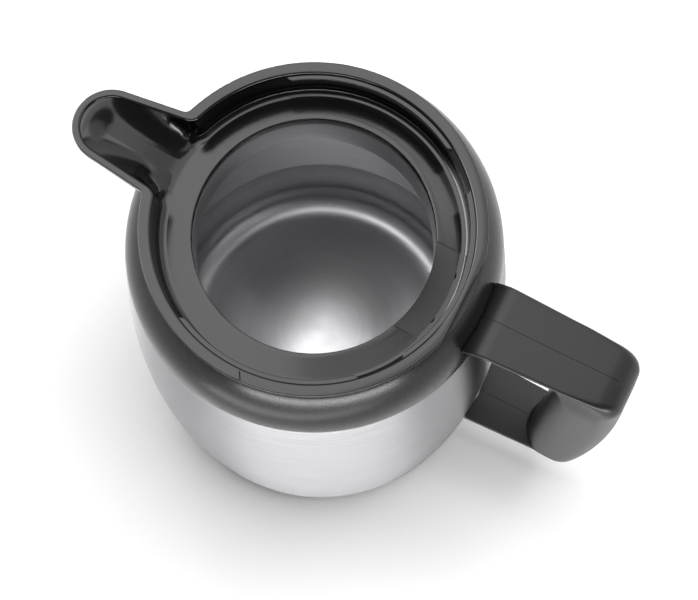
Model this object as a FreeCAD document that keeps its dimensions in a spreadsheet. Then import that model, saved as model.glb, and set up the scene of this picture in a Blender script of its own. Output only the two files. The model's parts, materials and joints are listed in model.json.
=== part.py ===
import FreeCAD, Part
import math
import os
from types import SimpleNamespace

import Sketcher

# Insulated steel coffee pot, lid off. Origin on the table under the middle of the base,
# +Z up, +X towards the handle, -X towards the spout.

# Driving dimensions: alias, value in millimetres or degrees, meaning.
SIZES = (
    ("barrel_top", "133.5", "height of the barrel's top edge above the table"),
    ("barrel_foot", "1.2", "height of the barrel's bottom edge above the table"),
    ("band_width", "7", "barrel's top edge out from the rim"),
    ("barrel_flare", "4.5", "barrel's foot out from its top edge"),
    ("barrel_bow", "512", "radius of the barrel's curved side"),
    ("foot_round", "2", "rounding of the barrel's bottom edge"),
    ("hem_width", "5.2", "width of the hem turned in under the barrel"),
    ("steel_wall", "0.8", "steel sheet thickness"),
    ("band_step", "2.3", "step in the barrel's shoulder that carries the band"),
    ("seat_inset", "1.7", "edge of the shoulder's flat top in from the collar's outside"),
    ("shoulder_round", "14", "radius of the shoulder's dome"),
    ("lip_rise", "9.7", "steel lip above the barrel's top edge"),
    ("seat_drop", "3.3", "shoulder's flat top below the steel lip"),
    ("mouth_radius", "39", "radius of the mouth"),
    ("weld_gap", "0.4", "gap between the two steel necks"),
    ("neck_length", "12", "straight part of the liner's neck"),
    ("neck_flare", "9", "radius where the liner's neck opens into the belly"),
    ("vacuum_gap", "6.2", "liner's belly, inside, in from the barrel's foot"),
    ("liner_shoulder", "36.2", "height of the liner's shoulder"),
    ("floor_gap", "0.7", "gap between getter cup and liner"),
    ("liner_corner", "10", "rounding between the liner's floor and wall"),
    ("floor_dish", "1.2", "depth of the dished floor"),
    ("weld_height", "50", "height of the weld round the liner"),
    ("foil_thickness", "0.3", "radiation foil"),
    ("foil_height", "36", "height of the foil sleeve"),
    ("plate_height", "9", "underside of the base plate above the table"),
    ("pump_hole", "1.5", "radius of the evacuation hole"),
    ("seal_radius", "5", "radius of the glass seal"),
    ("seal_height", "1.4", "height of the glass seal"),
    ("getter_offset", "20", "getter's distance from the axis"),
    ("getter_radius", "5", "radius of the getter pellet"),
    ("getter_height", "2", "height of the getter pellet"),
    ("clip_wall", "0.5", "wall of the getter's cup"),
    ("cover_height", "0.9", "underside of the base cover above the table"),
    ("cover_wall", "2", "base cover thickness"),
    ("cover_ring", "5.7", "width of the base cover's ring wall"),
    ("foot_width", "2.2", "width of the rubber ring"),
    ("foot_inset", "1.3", "rubber ring in from the base cover's edge"),
    ("foot_height", "2.9", "height of the rubber ring"),
    ("gasket_height", "1", "neck gasket thickness"),
    ("gasket_width", "4.2", "neck gasket width"),
    ("ledge_thickness", "3", "collar's ledge thickness"),
    ("ledge_width", "8.4", "flat width of the ledge"),
    ("ledge_fillet", "1.6", "rounding between ledge and collar wall"),
    ("skirt_width", "5.7", "collar's skirt that stands on the neck ring"),
    ("rim_rise", "10", "rim above the ledge"),
    ("rim_overhang", "3.5", "rim out from the collar's wall"),
    ("rim_width", "3.2", "width of the rim's top"),
    ("rim_face", "4.3", "height of the rim's outer face"),
    ("collar_wall", "2.2", "thickness of the collar's wall at its foot"),
    ("rim_gap", "0.5", "shadow gap between band and rim"),
    ("flat_depth", "2.2", "depth of the rim's flat that faces the handle"),
    ("band_crown", "26", "radius of the band's rounded outside"),
    ("band_lip", "0.5", "band's top edge in from the rim"),
    ("spout_length", "30", "spout tip out from the rim"),
    ("spout_root", "15.3", "half width of the spout at the collar"),
    ("spout_round", "12.3", "radius of the spout's tip"),
    ("spout_wall", "2.9", "spout wall"),
    ("spout_tip_depth", "4.5", "depth of the trough at the tip"),
    ("spout_floor", "2.5", "thickness of the trough's floor"),
    ("lug_span", "64", "angle that each lug spans"),
    ("lug_depth", "1.1", "how far a lug stands out of the wall"),
    ("lug_height", "2", "height of a lug"),
    ("lug_drop", "1.6", "top of a lug below the rim"),
    ("plate_half", "15.5", "half width of the ledge plate"),
    ("plate_thickness", "1.2", "ledge plate thickness"),
    ("ring_thickness", "1.5", "neck ring thickness"),
    ("tongue_half", "6.5", "half width of the neck ring's tongue"),
    ("tongue_reach", "12", "how far tongue and bracket reach into the handle"),
    ("screw_radius", "1.1", "screw shank radius"),
    ("head_radius", "2.2", "screw head radius"),
    ("head_height", "1.2", "screw head height"),
    ("screw_half", "3.4", "half distance between a pair of handle screws"),
    ("boss_radius", "2.8", "screw boss radius"),
    ("finger_gap", "24", "grip's inner face out from the barrel's foot radius"),
    ("grip_depth", "20.4", "grip from its inner to its outer face, at its ends"),
    ("grip_bow", "430", "radius of the grip's bowed outer face"),
    ("arm_rise", "0.9", "handle's top above the ledge"),
    ("arm_thickness", "13", "thickness of the handle's arms"),
    ("low_arm_top", "49", "top of the lower arm above the table"),
    ("handle_root_half", "13.4", "handle's half width at the rim"),
    ("handle_end_half", "11.2", "handle's half width at the grip's outer face"),
    ("grip_top_round", "8", "bend between upper arm and grip"),
    ("grip_low_round", "16", "bend between lower arm and grip"),
    ("finger_round", "7", "bends inside the finger gap"),
    ("outer_edge", "5.5", "rounding of the handle's outer edges"),
    ("finger_edge", "4", "rounding of the handle's edges round the finger gap"),
    ("handle_wall", "2.6", "handle wall"),
    ("pin_radius", "1.5", "alignment pin radius"),
    ("pin_half", "5", "half length of an alignment pin"),
    ("pin_inset", "12", "alignment pins in from the arms"),
    ("fit", "0.3", "clearance between neighbouring pieces"),
    ("thread", "0.1", "clearance round a screw"),
)

UP = FreeCAD.Vector(0, 0, 1)
ALONG_Y = FreeCAD.Vector(0, 1, 0)

doc = FreeCAD.newDocument("coffee_pot")
sheet = doc.addObject("Spreadsheet::Sheet", "Sizes")


class Size:
    """A length together with the sheet formula that gives it."""

    def __init__(self, value, formula):
        self.value = value
        self.formula = formula

    def __add__(self, other):
        other = as_size(other)
        return Size(self.value + other.value, f"({self.formula} + {other.formula})")

    def __sub__(self, other):
        other = as_size(other)
        return Size(self.value - other.value, f"({self.formula} - {other.formula})")

    def __mul__(self, other):
        other = as_size(other)
        return Size(self.value * other.value, f"({self.formula} * {other.formula})")

    def __truediv__(self, other):
        other = as_size(other)
        return Size(self.value / other.value, f"({self.formula} / {other.formula})")

    def __neg__(self):
        return Size(-self.value, f"(0 - {self.formula})")


def as_size(number):
    """A plain number as a size, and a size as it is."""
    if isinstance(number, Size):
        return number
    return Size(float(number), str(number))


def root(size):
    """Square root of a size."""
    return Size(math.sqrt(size.value), f"sqrt({size.formula})")


def fill_sheet():
    """Writes the driving dimensions into the sheet and returns them by name."""
    for row, (alias, value, meaning) in enumerate(SIZES, start=1):
        sheet.set(f"A{row}", meaning)
        sheet.set(f"B{row}", value)
        sheet.setAlias(f"B{row}", alias)
    doc.recompute()
    return SimpleNamespace(**{
        alias: Size(float(sheet.get(alias)), f"Sizes.{alias}") for alias, _, _ in SIZES
    })


def bind(owner, setting, size):
    """Gives a property or a constraint its size and ties it to the sheet."""
    owner.setExpression(setting, as_size(size).formula)


def arc_middle(start, end, bow):
    """Middle of the short arc between two points; a positive bow turns left on its way."""
    along = end - start
    left = FreeCAD.Vector(-along.y, along.x, 0).normalize()
    to_centre = math.sqrt(bow * bow - along.Length ** 2 / 4)
    side = math.copysign(1, bow)
    return (start + end) / 2 + left * side * (to_centre - abs(bow))


def pin_corner(sketch, segment, end, across, up):
    """Fixes one corner of an outline at its distances from the sketch's axes."""
    for kind, axis, size in (("DistanceX", -2, as_size(across)), ("DistanceY", -1, as_size(up))):
        if size.value == 0:
            sketch.addConstraint(Sketcher.Constraint("PointOnObject", segment, end, axis))
            continue
        index = sketch.addConstraint(Sketcher.Constraint(kind, -1, 1, segment, end, size.value))
        bind(sketch, f"Constraints[{index}]", size)


def outline(body, name, role, corners, level=None):
    """Closed sketch on one of the body's own planes, raised to a level if one is given.

    A corner is (across, up), or (across, up, bow) where an arc leads on to the next corner.
    """
    sketch = body.newObject("Sketcher::SketchObject", name)
    planes = {plane.Role: plane for plane in body.Origin.OriginFeatures}
    sketch.AttachmentSupport = [(planes[role], "")]
    sketch.MapMode = "FlatFace"
    if level is not None:
        bind(sketch, "AttachmentOffset.Base.z", level)
    points = [FreeCAD.Vector(as_size(c[0]).value, as_size(c[1]).value, 0) for c in corners]
    ends = []
    for index, corner in enumerate(corners):
        start = points[index]
        end = points[(index + 1) % len(points)]
        if len(corner) == 2:
            segment = sketch.addGeometry(Part.LineSegment(start, end))
        else:
            bow = as_size(corner[2]).value
            segment = sketch.addGeometry(Part.Arc(start, arc_middle(start, end, bow), end))
        first = 1 if (sketch.getPoint(segment, 1) - start).Length < 1e-6 else 2
        ends.append((segment, first, 3 - first))
    for index, corner in enumerate(corners):
        segment, first, _ = ends[index]
        before, _, last = ends[index - 1]
        sketch.addConstraint(Sketcher.Constraint("Coincident", before, last, segment, first))
        pin_corner(sketch, segment, first, corner[0], corner[1])
    for (segment, _, _), corner in zip(ends, corners):
        if len(corner) == 3:
            bow = as_size(corner[2])
            radius = bow if bow.value > 0 else -bow
            index = sketch.addConstraint(Sketcher.Constraint("Radius", segment, radius.value))
            bind(sketch, f"Constraints[{index}]", radius)
    return sketch


def turned(name, corners, span=360):
    """Body of revolution about the pot's axis from its section in the XZ plane."""
    body = doc.addObject("PartDesign::Body", name)
    section = outline(body, name + "_section", "XZ_Plane", corners)
    turn = body.newObject("PartDesign::Revolution", name + "_turn")
    turn.Profile = section
    turn.ReferenceAxis = (section, ["V_Axis"])
    bind(turn, "Angle", span)
    return body


def raised(name, corners, bottom, top):
    """Upright body between two levels from its outline seen from above."""
    body = doc.addObject("PartDesign::Body", name)
    plan = outline(body, name + "_plan", "XY_Plane", corners, bottom)
    pad = body.newObject("PartDesign::Pad", name + "_pad")
    pad.Profile = plan
    bind(pad, "Length", as_size(top) - bottom)
    return body


def slab(name, corners, width):
    """Body of even width across the XZ plane from its outline seen from the side."""
    body = doc.addObject("PartDesign::Body", name)
    side = outline(body, name + "_side", "XZ_Plane", corners)
    pad = body.newObject("PartDesign::Pad", name + "_pad")
    pad.Profile = side
    pad.SideType = "Symmetric"
    bind(pad, "Length", width)
    return body


def ring(name, inner, outer, bottom, top):
    """Plain ring about the pot's axis."""
    return turned(name, [(inner, bottom), (outer, bottom), (outer, top), (inner, top)])


def rod(name, radius, length, place, direction=None):
    """Cylinder from a place along +Z, or along another direction."""
    cylinder = doc.addObject("Part::Cylinder", name)
    bind(cylinder, "Radius", radius)
    bind(cylinder, "Height", length)
    if direction is not None:
        cylinder.Placement.Rotation = FreeCAD.Rotation(UP, direction)
    for axis, size in zip("xyz", place):
        bind(cylinder, f"Placement.Base.{axis}", size)
    return cylinder


def block(name, low, high):
    """Box between its lowest and highest corner."""
    box = doc.addObject("Part::Box", name)
    for side, axis, start, end in zip(("Length", "Width", "Height"), "xyz", low, high):
        bind(box, side, as_size(end) - start)
        bind(box, f"Placement.Base.{axis}", start)
    return box


def cut(name, base, tool):
    """The base without the tool."""
    result = doc.addObject("Part::Cut", name)
    result.Base = base
    result.Tool = tool
    return result


def common(name, base, tool):
    """What two solids share."""
    result = doc.addObject("Part::Common", name)
    result.Base = base
    result.Tool = tool
    return result


def fused(name, *solids):
    """Several solids as one."""
    result = doc.addObject("Part::MultiFuse", name)
    result.Shapes = list(solids)
    return result


def group(name, *solids):
    """Several separate solids in one node."""
    result = doc.addObject("Part::Compound", name)
    result.Links = list(solids)
    return result


d = fill_sheet()

# Radii that several pieces share, from the mouth outwards.
wall_foot = d.mouth_radius + d.ledge_width + d.ledge_fillet
collar_radius = wall_foot + d.collar_wall
seat_radius = collar_radius - d.seat_inset
rim_radius = collar_radius + d.rim_overhang
rim_flat = rim_radius - d.flat_depth
spout_reach = rim_radius + d.spout_length
barrel_top_radius = rim_radius + d.band_width
barrel_foot_radius = barrel_top_radius + d.barrel_flare
liner_radius = barrel_foot_radius - d.vacuum_gap

# Levels above the table that several pieces share, and a few more radii.
lip = d.barrel_top + d.lip_rise
seat = lip - d.seat_drop
ring_top = seat + d.ring_thickness
ledge_under = lip + d.gasket_height
ledge = ledge_under + d.ledge_thickness
rim = ledge + d.rim_rise
rim_under = rim - d.rim_face
band_top = rim_under - d.rim_gap
band_top_radius = rim_radius - d.band_lip
neck_inner = d.mouth_radius + d.steel_wall + d.weld_gap
neck_outer = neck_inner + d.steel_wall
hem_inner = barrel_foot_radius - d.hem_width
hem_top = d.barrel_foot + d.steel_wall
foot_curve = d.barrel_foot + d.foot_round
plate_top = d.plate_height + d.steel_wall
clip_top = plate_top + d.clip_wall + d.getter_height
liner_floor = clip_top + d.floor_gap + d.floor_dish + d.steel_wall
head_under = ledge - d.plate_thickness - d.head_height


def barrel_radius(level):
    """Outer radius of the barrel's curved side at a level."""
    rise = d.barrel_top - foot_curve
    lean = barrel_foot_radius - barrel_top_radius
    chord = root(rise * rise + lean * lean)
    to_centre = root(d.barrel_bow * d.barrel_bow - chord * chord / 4)
    centre_radius = (barrel_foot_radius + barrel_top_radius) / 2 - to_centre * rise / chord
    centre_level = (d.barrel_top + foot_curve) / 2 - to_centre * lean / chord
    offset = as_size(level) - centre_level
    return centre_radius + root(d.barrel_bow * d.barrel_bow - offset * offset)


def outer_shell():
    """Brushed barrel with its hem, stepped shoulder and neck, one steel sheet thick."""
    step_radius = barrel_top_radius - d.band_step
    return turned("outer_shell", [
        (hem_inner, d.barrel_foot),
        (barrel_foot_radius - d.foot_round, d.barrel_foot, d.foot_round),
        (barrel_foot_radius, foot_curve, d.barrel_bow),
        (barrel_top_radius, d.barrel_top),
        (step_radius, d.barrel_top, d.shoulder_round),
        (seat_radius, seat),
        (neck_outer, seat),
        (neck_outer, lip - d.steel_wall),
        (neck_inner, lip - d.steel_wall),
        (neck_inner, seat - d.steel_wall),
        (seat_radius, seat - d.steel_wall, -(d.shoulder_round - d.steel_wall)),
        (step_radius - d.steel_wall, d.barrel_top - d.steel_wall),
        (barrel_top_radius - d.steel_wall, d.barrel_top - d.steel_wall, -(d.barrel_bow - d.steel_wall)),
        (barrel_foot_radius - d.steel_wall, foot_curve, -(d.foot_round - d.steel_wall)),
        (barrel_foot_radius - d.foot_round, hem_top),
        (hem_inner, hem_top),
    ])


def liner_body():
    """Inner vessel from its lip down the neck and belly to the weld."""
    inset = liner_radius - d.mouth_radius
    drop = d.liner_shoulder
    both = (inset * inset + drop * drop) / (inset * 2)
    belly = both - d.neck_flare
    neck_foot = lip - d.neck_length
    belly_top = neck_foot - drop
    bend = d.neck_flare - d.steel_wall

    def turn_point(radius):
        across = d.mouth_radius + d.neck_flare - radius * (both - inset) / both
        return across, neck_foot - radius * drop / both

    outside = d.mouth_radius + d.steel_wall
    return turned("liner_body", [
        (liner_radius, d.weld_height),
        (liner_radius + d.steel_wall, d.weld_height),
        (liner_radius + d.steel_wall, belly_top, belly + d.steel_wall),
        (*turn_point(bend), -bend),
        (outside, neck_foot),
        (outside, lip - d.steel_wall),
        (neck_outer, lip - d.steel_wall),
        (neck_outer, lip),
        (d.mouth_radius, lip),
        (d.mouth_radius, neck_foot, d.neck_flare),
        (*turn_point(d.neck_flare), -belly),
        (liner_radius, belly_top),
    ])


def liner_cup():
    """Inner vessel below the weld: wall, rounded corner and slightly dished floor."""
    crease = liner_radius - d.liner_corner
    dish = (crease * crease + d.floor_dish * d.floor_dish) / (d.floor_dish * 2)
    corner_top = liner_floor + d.liner_corner
    under = liner_floor - d.steel_wall
    return turned("liner_cup", [
        (0, under - d.floor_dish, dish + d.steel_wall),
        (crease, under, d.liner_corner + d.steel_wall),
        (liner_radius + d.steel_wall, corner_top),
        (liner_radius + d.steel_wall, d.weld_height),
        (liner_radius, d.weld_height),
        (liner_radius, corner_top, -d.liner_corner),
        (crease, liner_floor, -dish),
        (0, liner_floor - d.floor_dish),
    ])


def radiation_foil():
    """Foil sleeve round the liner's belly, inside the vacuum."""
    inner = liner_radius + d.steel_wall + d.fit
    low = d.weld_height + d.fit
    return ring("radiation_foil", inner, inner + d.foil_thickness, low, low + d.foil_height)


def base_plate():
    """Plate that closes the vacuum, standing on the hem by its flange."""
    edge = barrel_foot_radius - d.foot_round - d.fit
    return turned("base_plate", [
        (edge - d.steel_wall, hem_top),
        (edge, hem_top),
        (edge, plate_top),
        (d.pump_hole, plate_top),
        (d.pump_hole, d.plate_height),
        (edge - d.steel_wall, d.plate_height),
    ])


def vacuum_seal():
    """Glass bead under the evacuation hole."""
    crown = (d.seal_radius * d.seal_radius + d.seal_height * d.seal_height) / (d.seal_height * 2)
    return turned("vacuum_seal", [
        (0, d.plate_height - d.seal_height, crown),
        (d.seal_radius, d.plate_height),
        (0, d.plate_height),
    ])


def getter_pieces():
    """Pellet in its cup on the base plate."""
    place = (d.getter_offset, 0, plate_top)
    outside = d.getter_radius + d.fit + d.clip_wall
    cup = rod("clip_blank", outside, clip_top - plate_top, place)
    inside = (d.getter_offset, 0, plate_top + d.clip_wall)
    room = rod("clip_room", d.getter_radius + d.fit, d.getter_height, inside)
    pellet = rod("getter", d.getter_radius, d.getter_height, inside)
    return cut("getter_clip", cup, room), pellet


def base_cover():
    """Plastic cover inside the hem, with a ring wall up to the base plate and a groove."""
    edge = hem_inner - d.fit
    groove_outer = edge - d.foot_inset
    groove_inner = groove_outer - d.foot_width - d.fit * 2
    inside = edge - d.cover_ring
    top = d.cover_height + d.cover_wall
    return turned("base_cover", [
        (0, d.cover_height),
        (groove_inner, d.cover_height),
        (groove_inner, d.foot_height),
        (groove_outer, d.foot_height),
        (groove_outer, d.cover_height),
        (edge, d.cover_height),
        (edge, d.plate_height),
        (inside, d.plate_height),
        (inside, top),
        (0, top),
    ])


def foot_ring():
    """Rubber ring in the base cover's groove."""
    outer = hem_inner - d.fit - d.foot_inset - d.fit
    return ring("foot_ring", outer - d.foot_width, outer, 0, d.foot_height)


def neck_gasket():
    """Silicone ring on the steel lip."""
    outer = d.mouth_radius + d.gasket_width
    return ring("neck_gasket", d.mouth_radius, outer, lip, ledge_under)


def screw_pair(across, half=None):
    """Places of a pair of upright screws, one on each side of the middle plane."""
    half = half or d.screw_half
    return [(across, -half), (across, half)]


screw_across = d.mouth_radius + d.gasket_width + d.head_radius / 2
collar_screw_places = screw_pair(screw_across, d.plate_half / 2)
tongue_end = barrel_top_radius + d.tongue_reach


def drilled(name, solid, places, radius, bottom, top):
    """A solid with an upright hole at each place."""
    holes = [rod(f"{name}_hole", radius, as_size(top) - bottom, (*place, bottom)) for place in places]
    return cut(name, solid, fused(name + "_holes", *holes))


def neck_ring():
    """Steel ring on the shoulder with a tongue that reaches into the handle."""
    flat = ring("ring_blank", neck_outer + d.fit, seat_radius - d.fit, seat, ring_top)
    start = seat_radius - d.ring_thickness * 2
    tongue = block("tongue_blank", (start, -d.tongue_half, seat), (tongue_end, d.tongue_half, ring_top))
    places = collar_screw_places + screw_pair(tongue_end - d.boss_radius)
    whole = fused("ring_and_tongue", flat, tongue)
    return drilled("neck_ring", whole, places, d.screw_radius + d.thread, seat, ring_top)


def spout_plan(name, inset, start, bottom, top):
    """Spout seen from above, drawn in by an inset: sides that run in towards a round tip."""
    tip_radius = d.spout_round - inset
    root_half = d.spout_root - inset
    tip = inset - spout_reach
    round_start = tip + tip_radius
    return raised(name, [
        (start, root_half),
        (round_start, tip_radius, tip_radius),
        (tip, 0, tip_radius),
        (round_start, -tip_radius),
        (start, -root_half),
    ], bottom, top)


def spout_solid(name, clearance):
    """Spout without its trough, rising from the collar's foot to the tip, a clearance larger."""
    start = d.fit - seat_radius
    tip = -spout_reach - clearance
    tip_under = rim - d.spout_tip_depth - d.spout_floor - clearance
    side = slab(name + "_side", [
        (start, rim),
        (tip, rim),
        (tip, tip_under),
        (start, ledge_under - clearance),
    ], d.spout_root * 3)
    plan = spout_plan(name + "_plan", -clearance, start, lip - clearance, rim)
    return common(name, side, plan)


def shoulder_band():
    """Matte band on the barrel's step, slotted for the tongue and notched for the spout."""
    inner_foot = barrel_top_radius - d.band_step + d.fit
    inner_top = collar_radius + d.fit
    wall = d.band_step - d.fit
    body = turned("band_blank", [
        (inner_foot, d.barrel_top),
        (barrel_top_radius, d.barrel_top, d.band_crown),
        (band_top_radius, band_top),
        (inner_top, band_top),
        (inner_top, band_top - wall, -(d.band_crown - wall)),
        (inner_foot, d.barrel_top + wall * 2),
    ])
    slot = block(
        "tongue_slot",
        (seat_radius, -(d.tongue_half + d.fit), seat - d.fit),
        (tongue_end, d.tongue_half + d.fit, ring_top + d.fit),
    )
    return cut("shoulder_band", body, fused("band_cuts", slot, spout_solid("spout_notch", d.fit)))


def collar_lug(quarter):
    """One of the lid's bayonet lugs on the collar wall, a number of quarter turns from the handle."""
    top = rim - d.lug_drop
    wall = rim_radius - d.rim_width
    inner = wall - d.lug_drop / 2 - d.lug_depth
    outer = wall + d.rim_width / 4
    low = top - d.lug_height
    lug = turned(f"lug_{quarter + 1}", [(inner, low), (outer, low), (outer, top), (inner, top)], d.lug_span)
    lug.Tip.Midplane = True
    lug.Placement.Rotation = FreeCAD.Rotation(UP, 90 * quarter)
    return lug


def pouring_collar():
    """Collar with ledge, wall, rim, spout and lugs, and a recess for the ledge plate."""
    skirt_inner = seat_radius - d.fit - d.skirt_width
    body = turned("collar_blank", [
        (d.mouth_radius, ledge_under),
        (skirt_inner, ledge_under),
        (skirt_inner, ring_top),
        (seat_radius - d.fit, ring_top),
        (seat_radius - d.fit, ledge_under),
        (collar_radius, ledge_under),
        (collar_radius, rim_under),
        (rim_radius, rim_under),
        (rim_radius, rim),
        (rim_radius - d.rim_width, rim),
        (wall_foot, ledge + d.ledge_fillet, -d.ledge_fillet),
        (wall_foot - d.ledge_fillet, ledge),
        (d.mouth_radius, ledge),
    ])
    spout = spout_solid("spout", as_size(0))
    tip = -spout_reach
    above = rim + d.rim_gap
    trough_side = slab("trough_side", [
        (-d.mouth_radius, above),
        (tip, above),
        (tip, rim - d.spout_tip_depth),
        (-wall_foot, ledge),
        (-d.mouth_radius, ledge),
    ], d.spout_root * 2)
    trough_plan = spout_plan("trough_plan", d.spout_wall, -d.mouth_radius, ledge, above)
    trough = common("trough", trough_side, trough_plan)
    lugs = [collar_lug(quarter) for quarter in (-1, 0, 1)]
    solid = fused("collar_solid", body, spout, *lugs)
    flat = block(
        "rim_flat_cut",
        (rim_flat, -rim_radius, rim_under),
        (rim_radius + d.fit, rim_radius, rim + d.rim_gap),
    )
    recess = ledge_sector("plate_recess", d.fit)
    holes = [
        rod("collar_hole", d.screw_radius + d.thread, ledge - ring_top, (*place, ring_top))
        for place in collar_screw_places
    ]
    sinks = [
        rod("collar_sink", d.head_radius + d.thread, ledge - head_under, (*place, head_under))
        for place in collar_screw_places
    ]
    return cut("pouring_collar", solid, fused("collar_cuts", trough, flat, recess, *holes, *sinks))


def ledge_sector(name, clearance):
    """Flat plate in the ledge's top on the handle side, flush with the mouth, a clearance larger all round."""
    inner = d.mouth_radius - clearance
    outer = d.mouth_radius + d.ledge_width - d.fit + clearance
    flat = ring(name + "_ring", inner, outer, ledge - d.plate_thickness, ledge)
    half = d.plate_half - d.fit + clearance
    sides = block(name + "_sides", (0, -half, ledge_under), (rim_radius, half, rim))
    return common(name, flat, sides)


def screw(name, place, head_level, end_level):
    """Screw with its head at one level and its end at another, above or below it."""
    upwards = end_level.value > head_level.value
    length = end_level - head_level if upwards else head_level - end_level
    low = head_level if upwards else end_level
    shank = rod(name + "_shank", d.screw_radius, length, (*place, low))
    head_low = head_level - d.head_height if upwards else head_level
    head = rod(name + "_head", d.head_radius, d.head_height, (*place, head_low))
    return fused(name, shank, head)


def collar_screws():
    """Screws from the ledge plate's recess into the neck ring."""
    return group("collar_screws", *[
        screw(f"collar_screw_{number}", place, head_under, seat)
        for number, place in enumerate(collar_screw_places)
    ])


grip_inner = barrel_foot_radius + d.finger_gap
grip_outer = grip_inner + d.grip_depth
grip_middle = (grip_inner + grip_outer) / 2
arm_top = ledge + d.arm_rise
arm_under = arm_top - d.arm_thickness
low_arm_under = d.low_arm_top - d.arm_thickness
bracket_low = (d.low_arm_top + low_arm_under) / 2
bracket_face = barrel_radius(bracket_low) + d.fit
bracket_end = bracket_face + d.tongue_reach
tongue_screw_places = screw_pair(tongue_end - d.boss_radius)
bracket_screw_places = screw_pair(bracket_end - d.boss_radius)
upper_sink = arm_under + d.head_height + d.fit
lower_sink = low_arm_under + d.head_height + d.fit
pin_levels = (d.low_arm_top + d.pin_inset, arm_under - d.pin_inset)


def handle_square(name, inset):
    """Handle with square corners, drawn in by an inset: its side view within its top view."""
    start = rim_flat
    out = grip_outer - inset
    inner = grip_inner + inset
    low_under = low_arm_under + inset
    low_top = d.low_arm_top - inset
    under = arm_under + inset
    side = slab(name + "_side", [
        (start, low_under),
        (out, low_under, d.grip_bow - inset),
        (out, arm_top - inset),
        (start, arm_top - inset),
        (start, under),
        (inner, under),
        (inner, low_top),
        (start, low_top),
    ], d.handle_root_half * 2)
    root_half = d.handle_root_half - inset
    end_half = d.handle_end_half - inset
    beyond = out + d.grip_depth
    beyond_half = end_half - (root_half - end_half) * d.grip_depth / (out - start)
    plan = raised(name + "_plan", [
        (start, -root_half),
        (beyond, -beyond_half),
        (beyond, beyond_half),
        (start, root_half),
    ], d.barrel_foot, rim)
    return common(name + "_square", side, plan)


def rounded(name, base, radius_of):
    """A solid with its edges rounded by the radius that radius_of gives, where it gives one."""
    doc.recompute()
    result = doc.addObject("Part::Fillet", name)
    result.Base = base
    edges = []
    for number, edge in enumerate(base.Shape.Edges, start=1):
        radius = radius_of(edge)
        if radius:
            edges.append((number, radius, radius))
    result.Edges = edges
    return result


def handle_bent(name, inset):
    """Handle with the bends between grip and arms, drawn in by an inset."""
    half_height = (arm_top.value + low_arm_under.value) / 2

    def bend_radius(edge):
        box = edge.BoundBox
        if box.YLength < 1 or box.XMin < rim_flat.value + 1:
            return 0
        if box.XMin < grip_middle.value:
            return d.finger_round.value + inset.value
        bend = d.grip_top_round if box.ZMin > half_height else d.grip_low_round
        return bend.value - inset.value

    return rounded(name, handle_square(name, inset), bend_radius)


def handle_smooth():
    """Whole handle with its long edges rounded."""

    def edge_radius(edge):
        middle = edge.valueAt((edge.FirstParameter + edge.LastParameter) / 2)
        box = edge.BoundBox
        runs_across = abs(middle.y) < 1
        at_root = box.XMax < rim_flat.value + 1
        if runs_across or at_root:
            return 0
        inside = low_arm_under.value + 1 < middle.z < arm_top.value - 1
        facing_fingers = inside and box.XMax < grip_middle.value
        return d.finger_edge.value if facing_fingers else d.outer_edge.value

    return rounded("handle_smooth", handle_bent("handle_bent", as_size(0)), edge_radius)


def pot_envelope():
    """Everything inside the band's and the barrel's outside, a clearance out."""
    out = barrel_foot_radius + d.fit
    return turned("pot_envelope", [
        (0, 0),
        (out, 0),
        (out, foot_curve, d.barrel_bow),
        (barrel_top_radius + d.fit, d.barrel_top, d.band_crown),
        (band_top_radius + d.fit, band_top),
        (rim_radius + d.fit, band_top),
        (rim_radius + d.fit, rim),
        (0, rim),
    ])


def posts(name, places, bottom, top):
    """Upright round posts or holes between two levels."""
    return {
        size: [rod(f"{name}_{size}", radius, top - bottom, (*place, bottom)) for place in places]
        for size, radius in (("boss", d.boss_radius), ("hole", d.screw_radius + d.thread))
    }


def handle_halves():
    """Hollow handle split down its middle, with bosses for screws and pins."""
    hollow = cut("handle_hollow", handle_smooth(), handle_bent("handle_core", d.handle_wall))
    upper = posts("tongue", tongue_screw_places, arm_under, seat)
    lower = posts("bracket", bracket_screw_places, low_arm_under, bracket_low)
    sinks = [
        rod("handle_sink", d.head_radius + d.thread, d.head_height + d.fit, (*place, level))
        for places, level in ((tongue_screw_places, arm_under), (bracket_screw_places, low_arm_under))
        for place in places
    ]
    boss_half = d.handle_end_half - d.handle_wall / 2
    pin_bosses = [
        rod("pin_boss", d.pin_radius * 2, boss_half * 2, (grip_middle, -boss_half, level), ALONG_Y)
        for level in pin_levels
    ]
    pin_half = d.pin_half + d.fit
    pin_holes = [
        rod("pin_hole", d.pin_radius + d.thread, pin_half * 2, (grip_middle, -pin_half, level), ALONG_Y)
        for level in pin_levels
    ]
    solid = fused("handle_solid", hollow, *upper["boss"], *lower["boss"], *pin_bosses)
    away = fused("handle_cuts", pot_envelope(), *upper["hole"], *lower["hole"], *sinks, *pin_holes)
    whole = cut("handle_whole", solid, away)
    low = (rim_flat, 0, 0)
    high = (grip_outer + d.grip_depth, d.handle_root_half * 2, rim)
    left_side = block("left_side", (low[0], -high[1], 0), (high[0], 0, high[2]))
    right_side = block("right_side", low, high)
    return common("handle_left", whole, left_side), common("handle_right", whole, right_side)


def handle_pins():
    """Pins across the split that line the two halves up."""
    return group("handle_pins", *[
        rod("handle_pin", d.pin_radius, d.pin_half * 2, (grip_middle, -d.pin_half, level), ALONG_Y)
        for level in pin_levels
    ])


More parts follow.
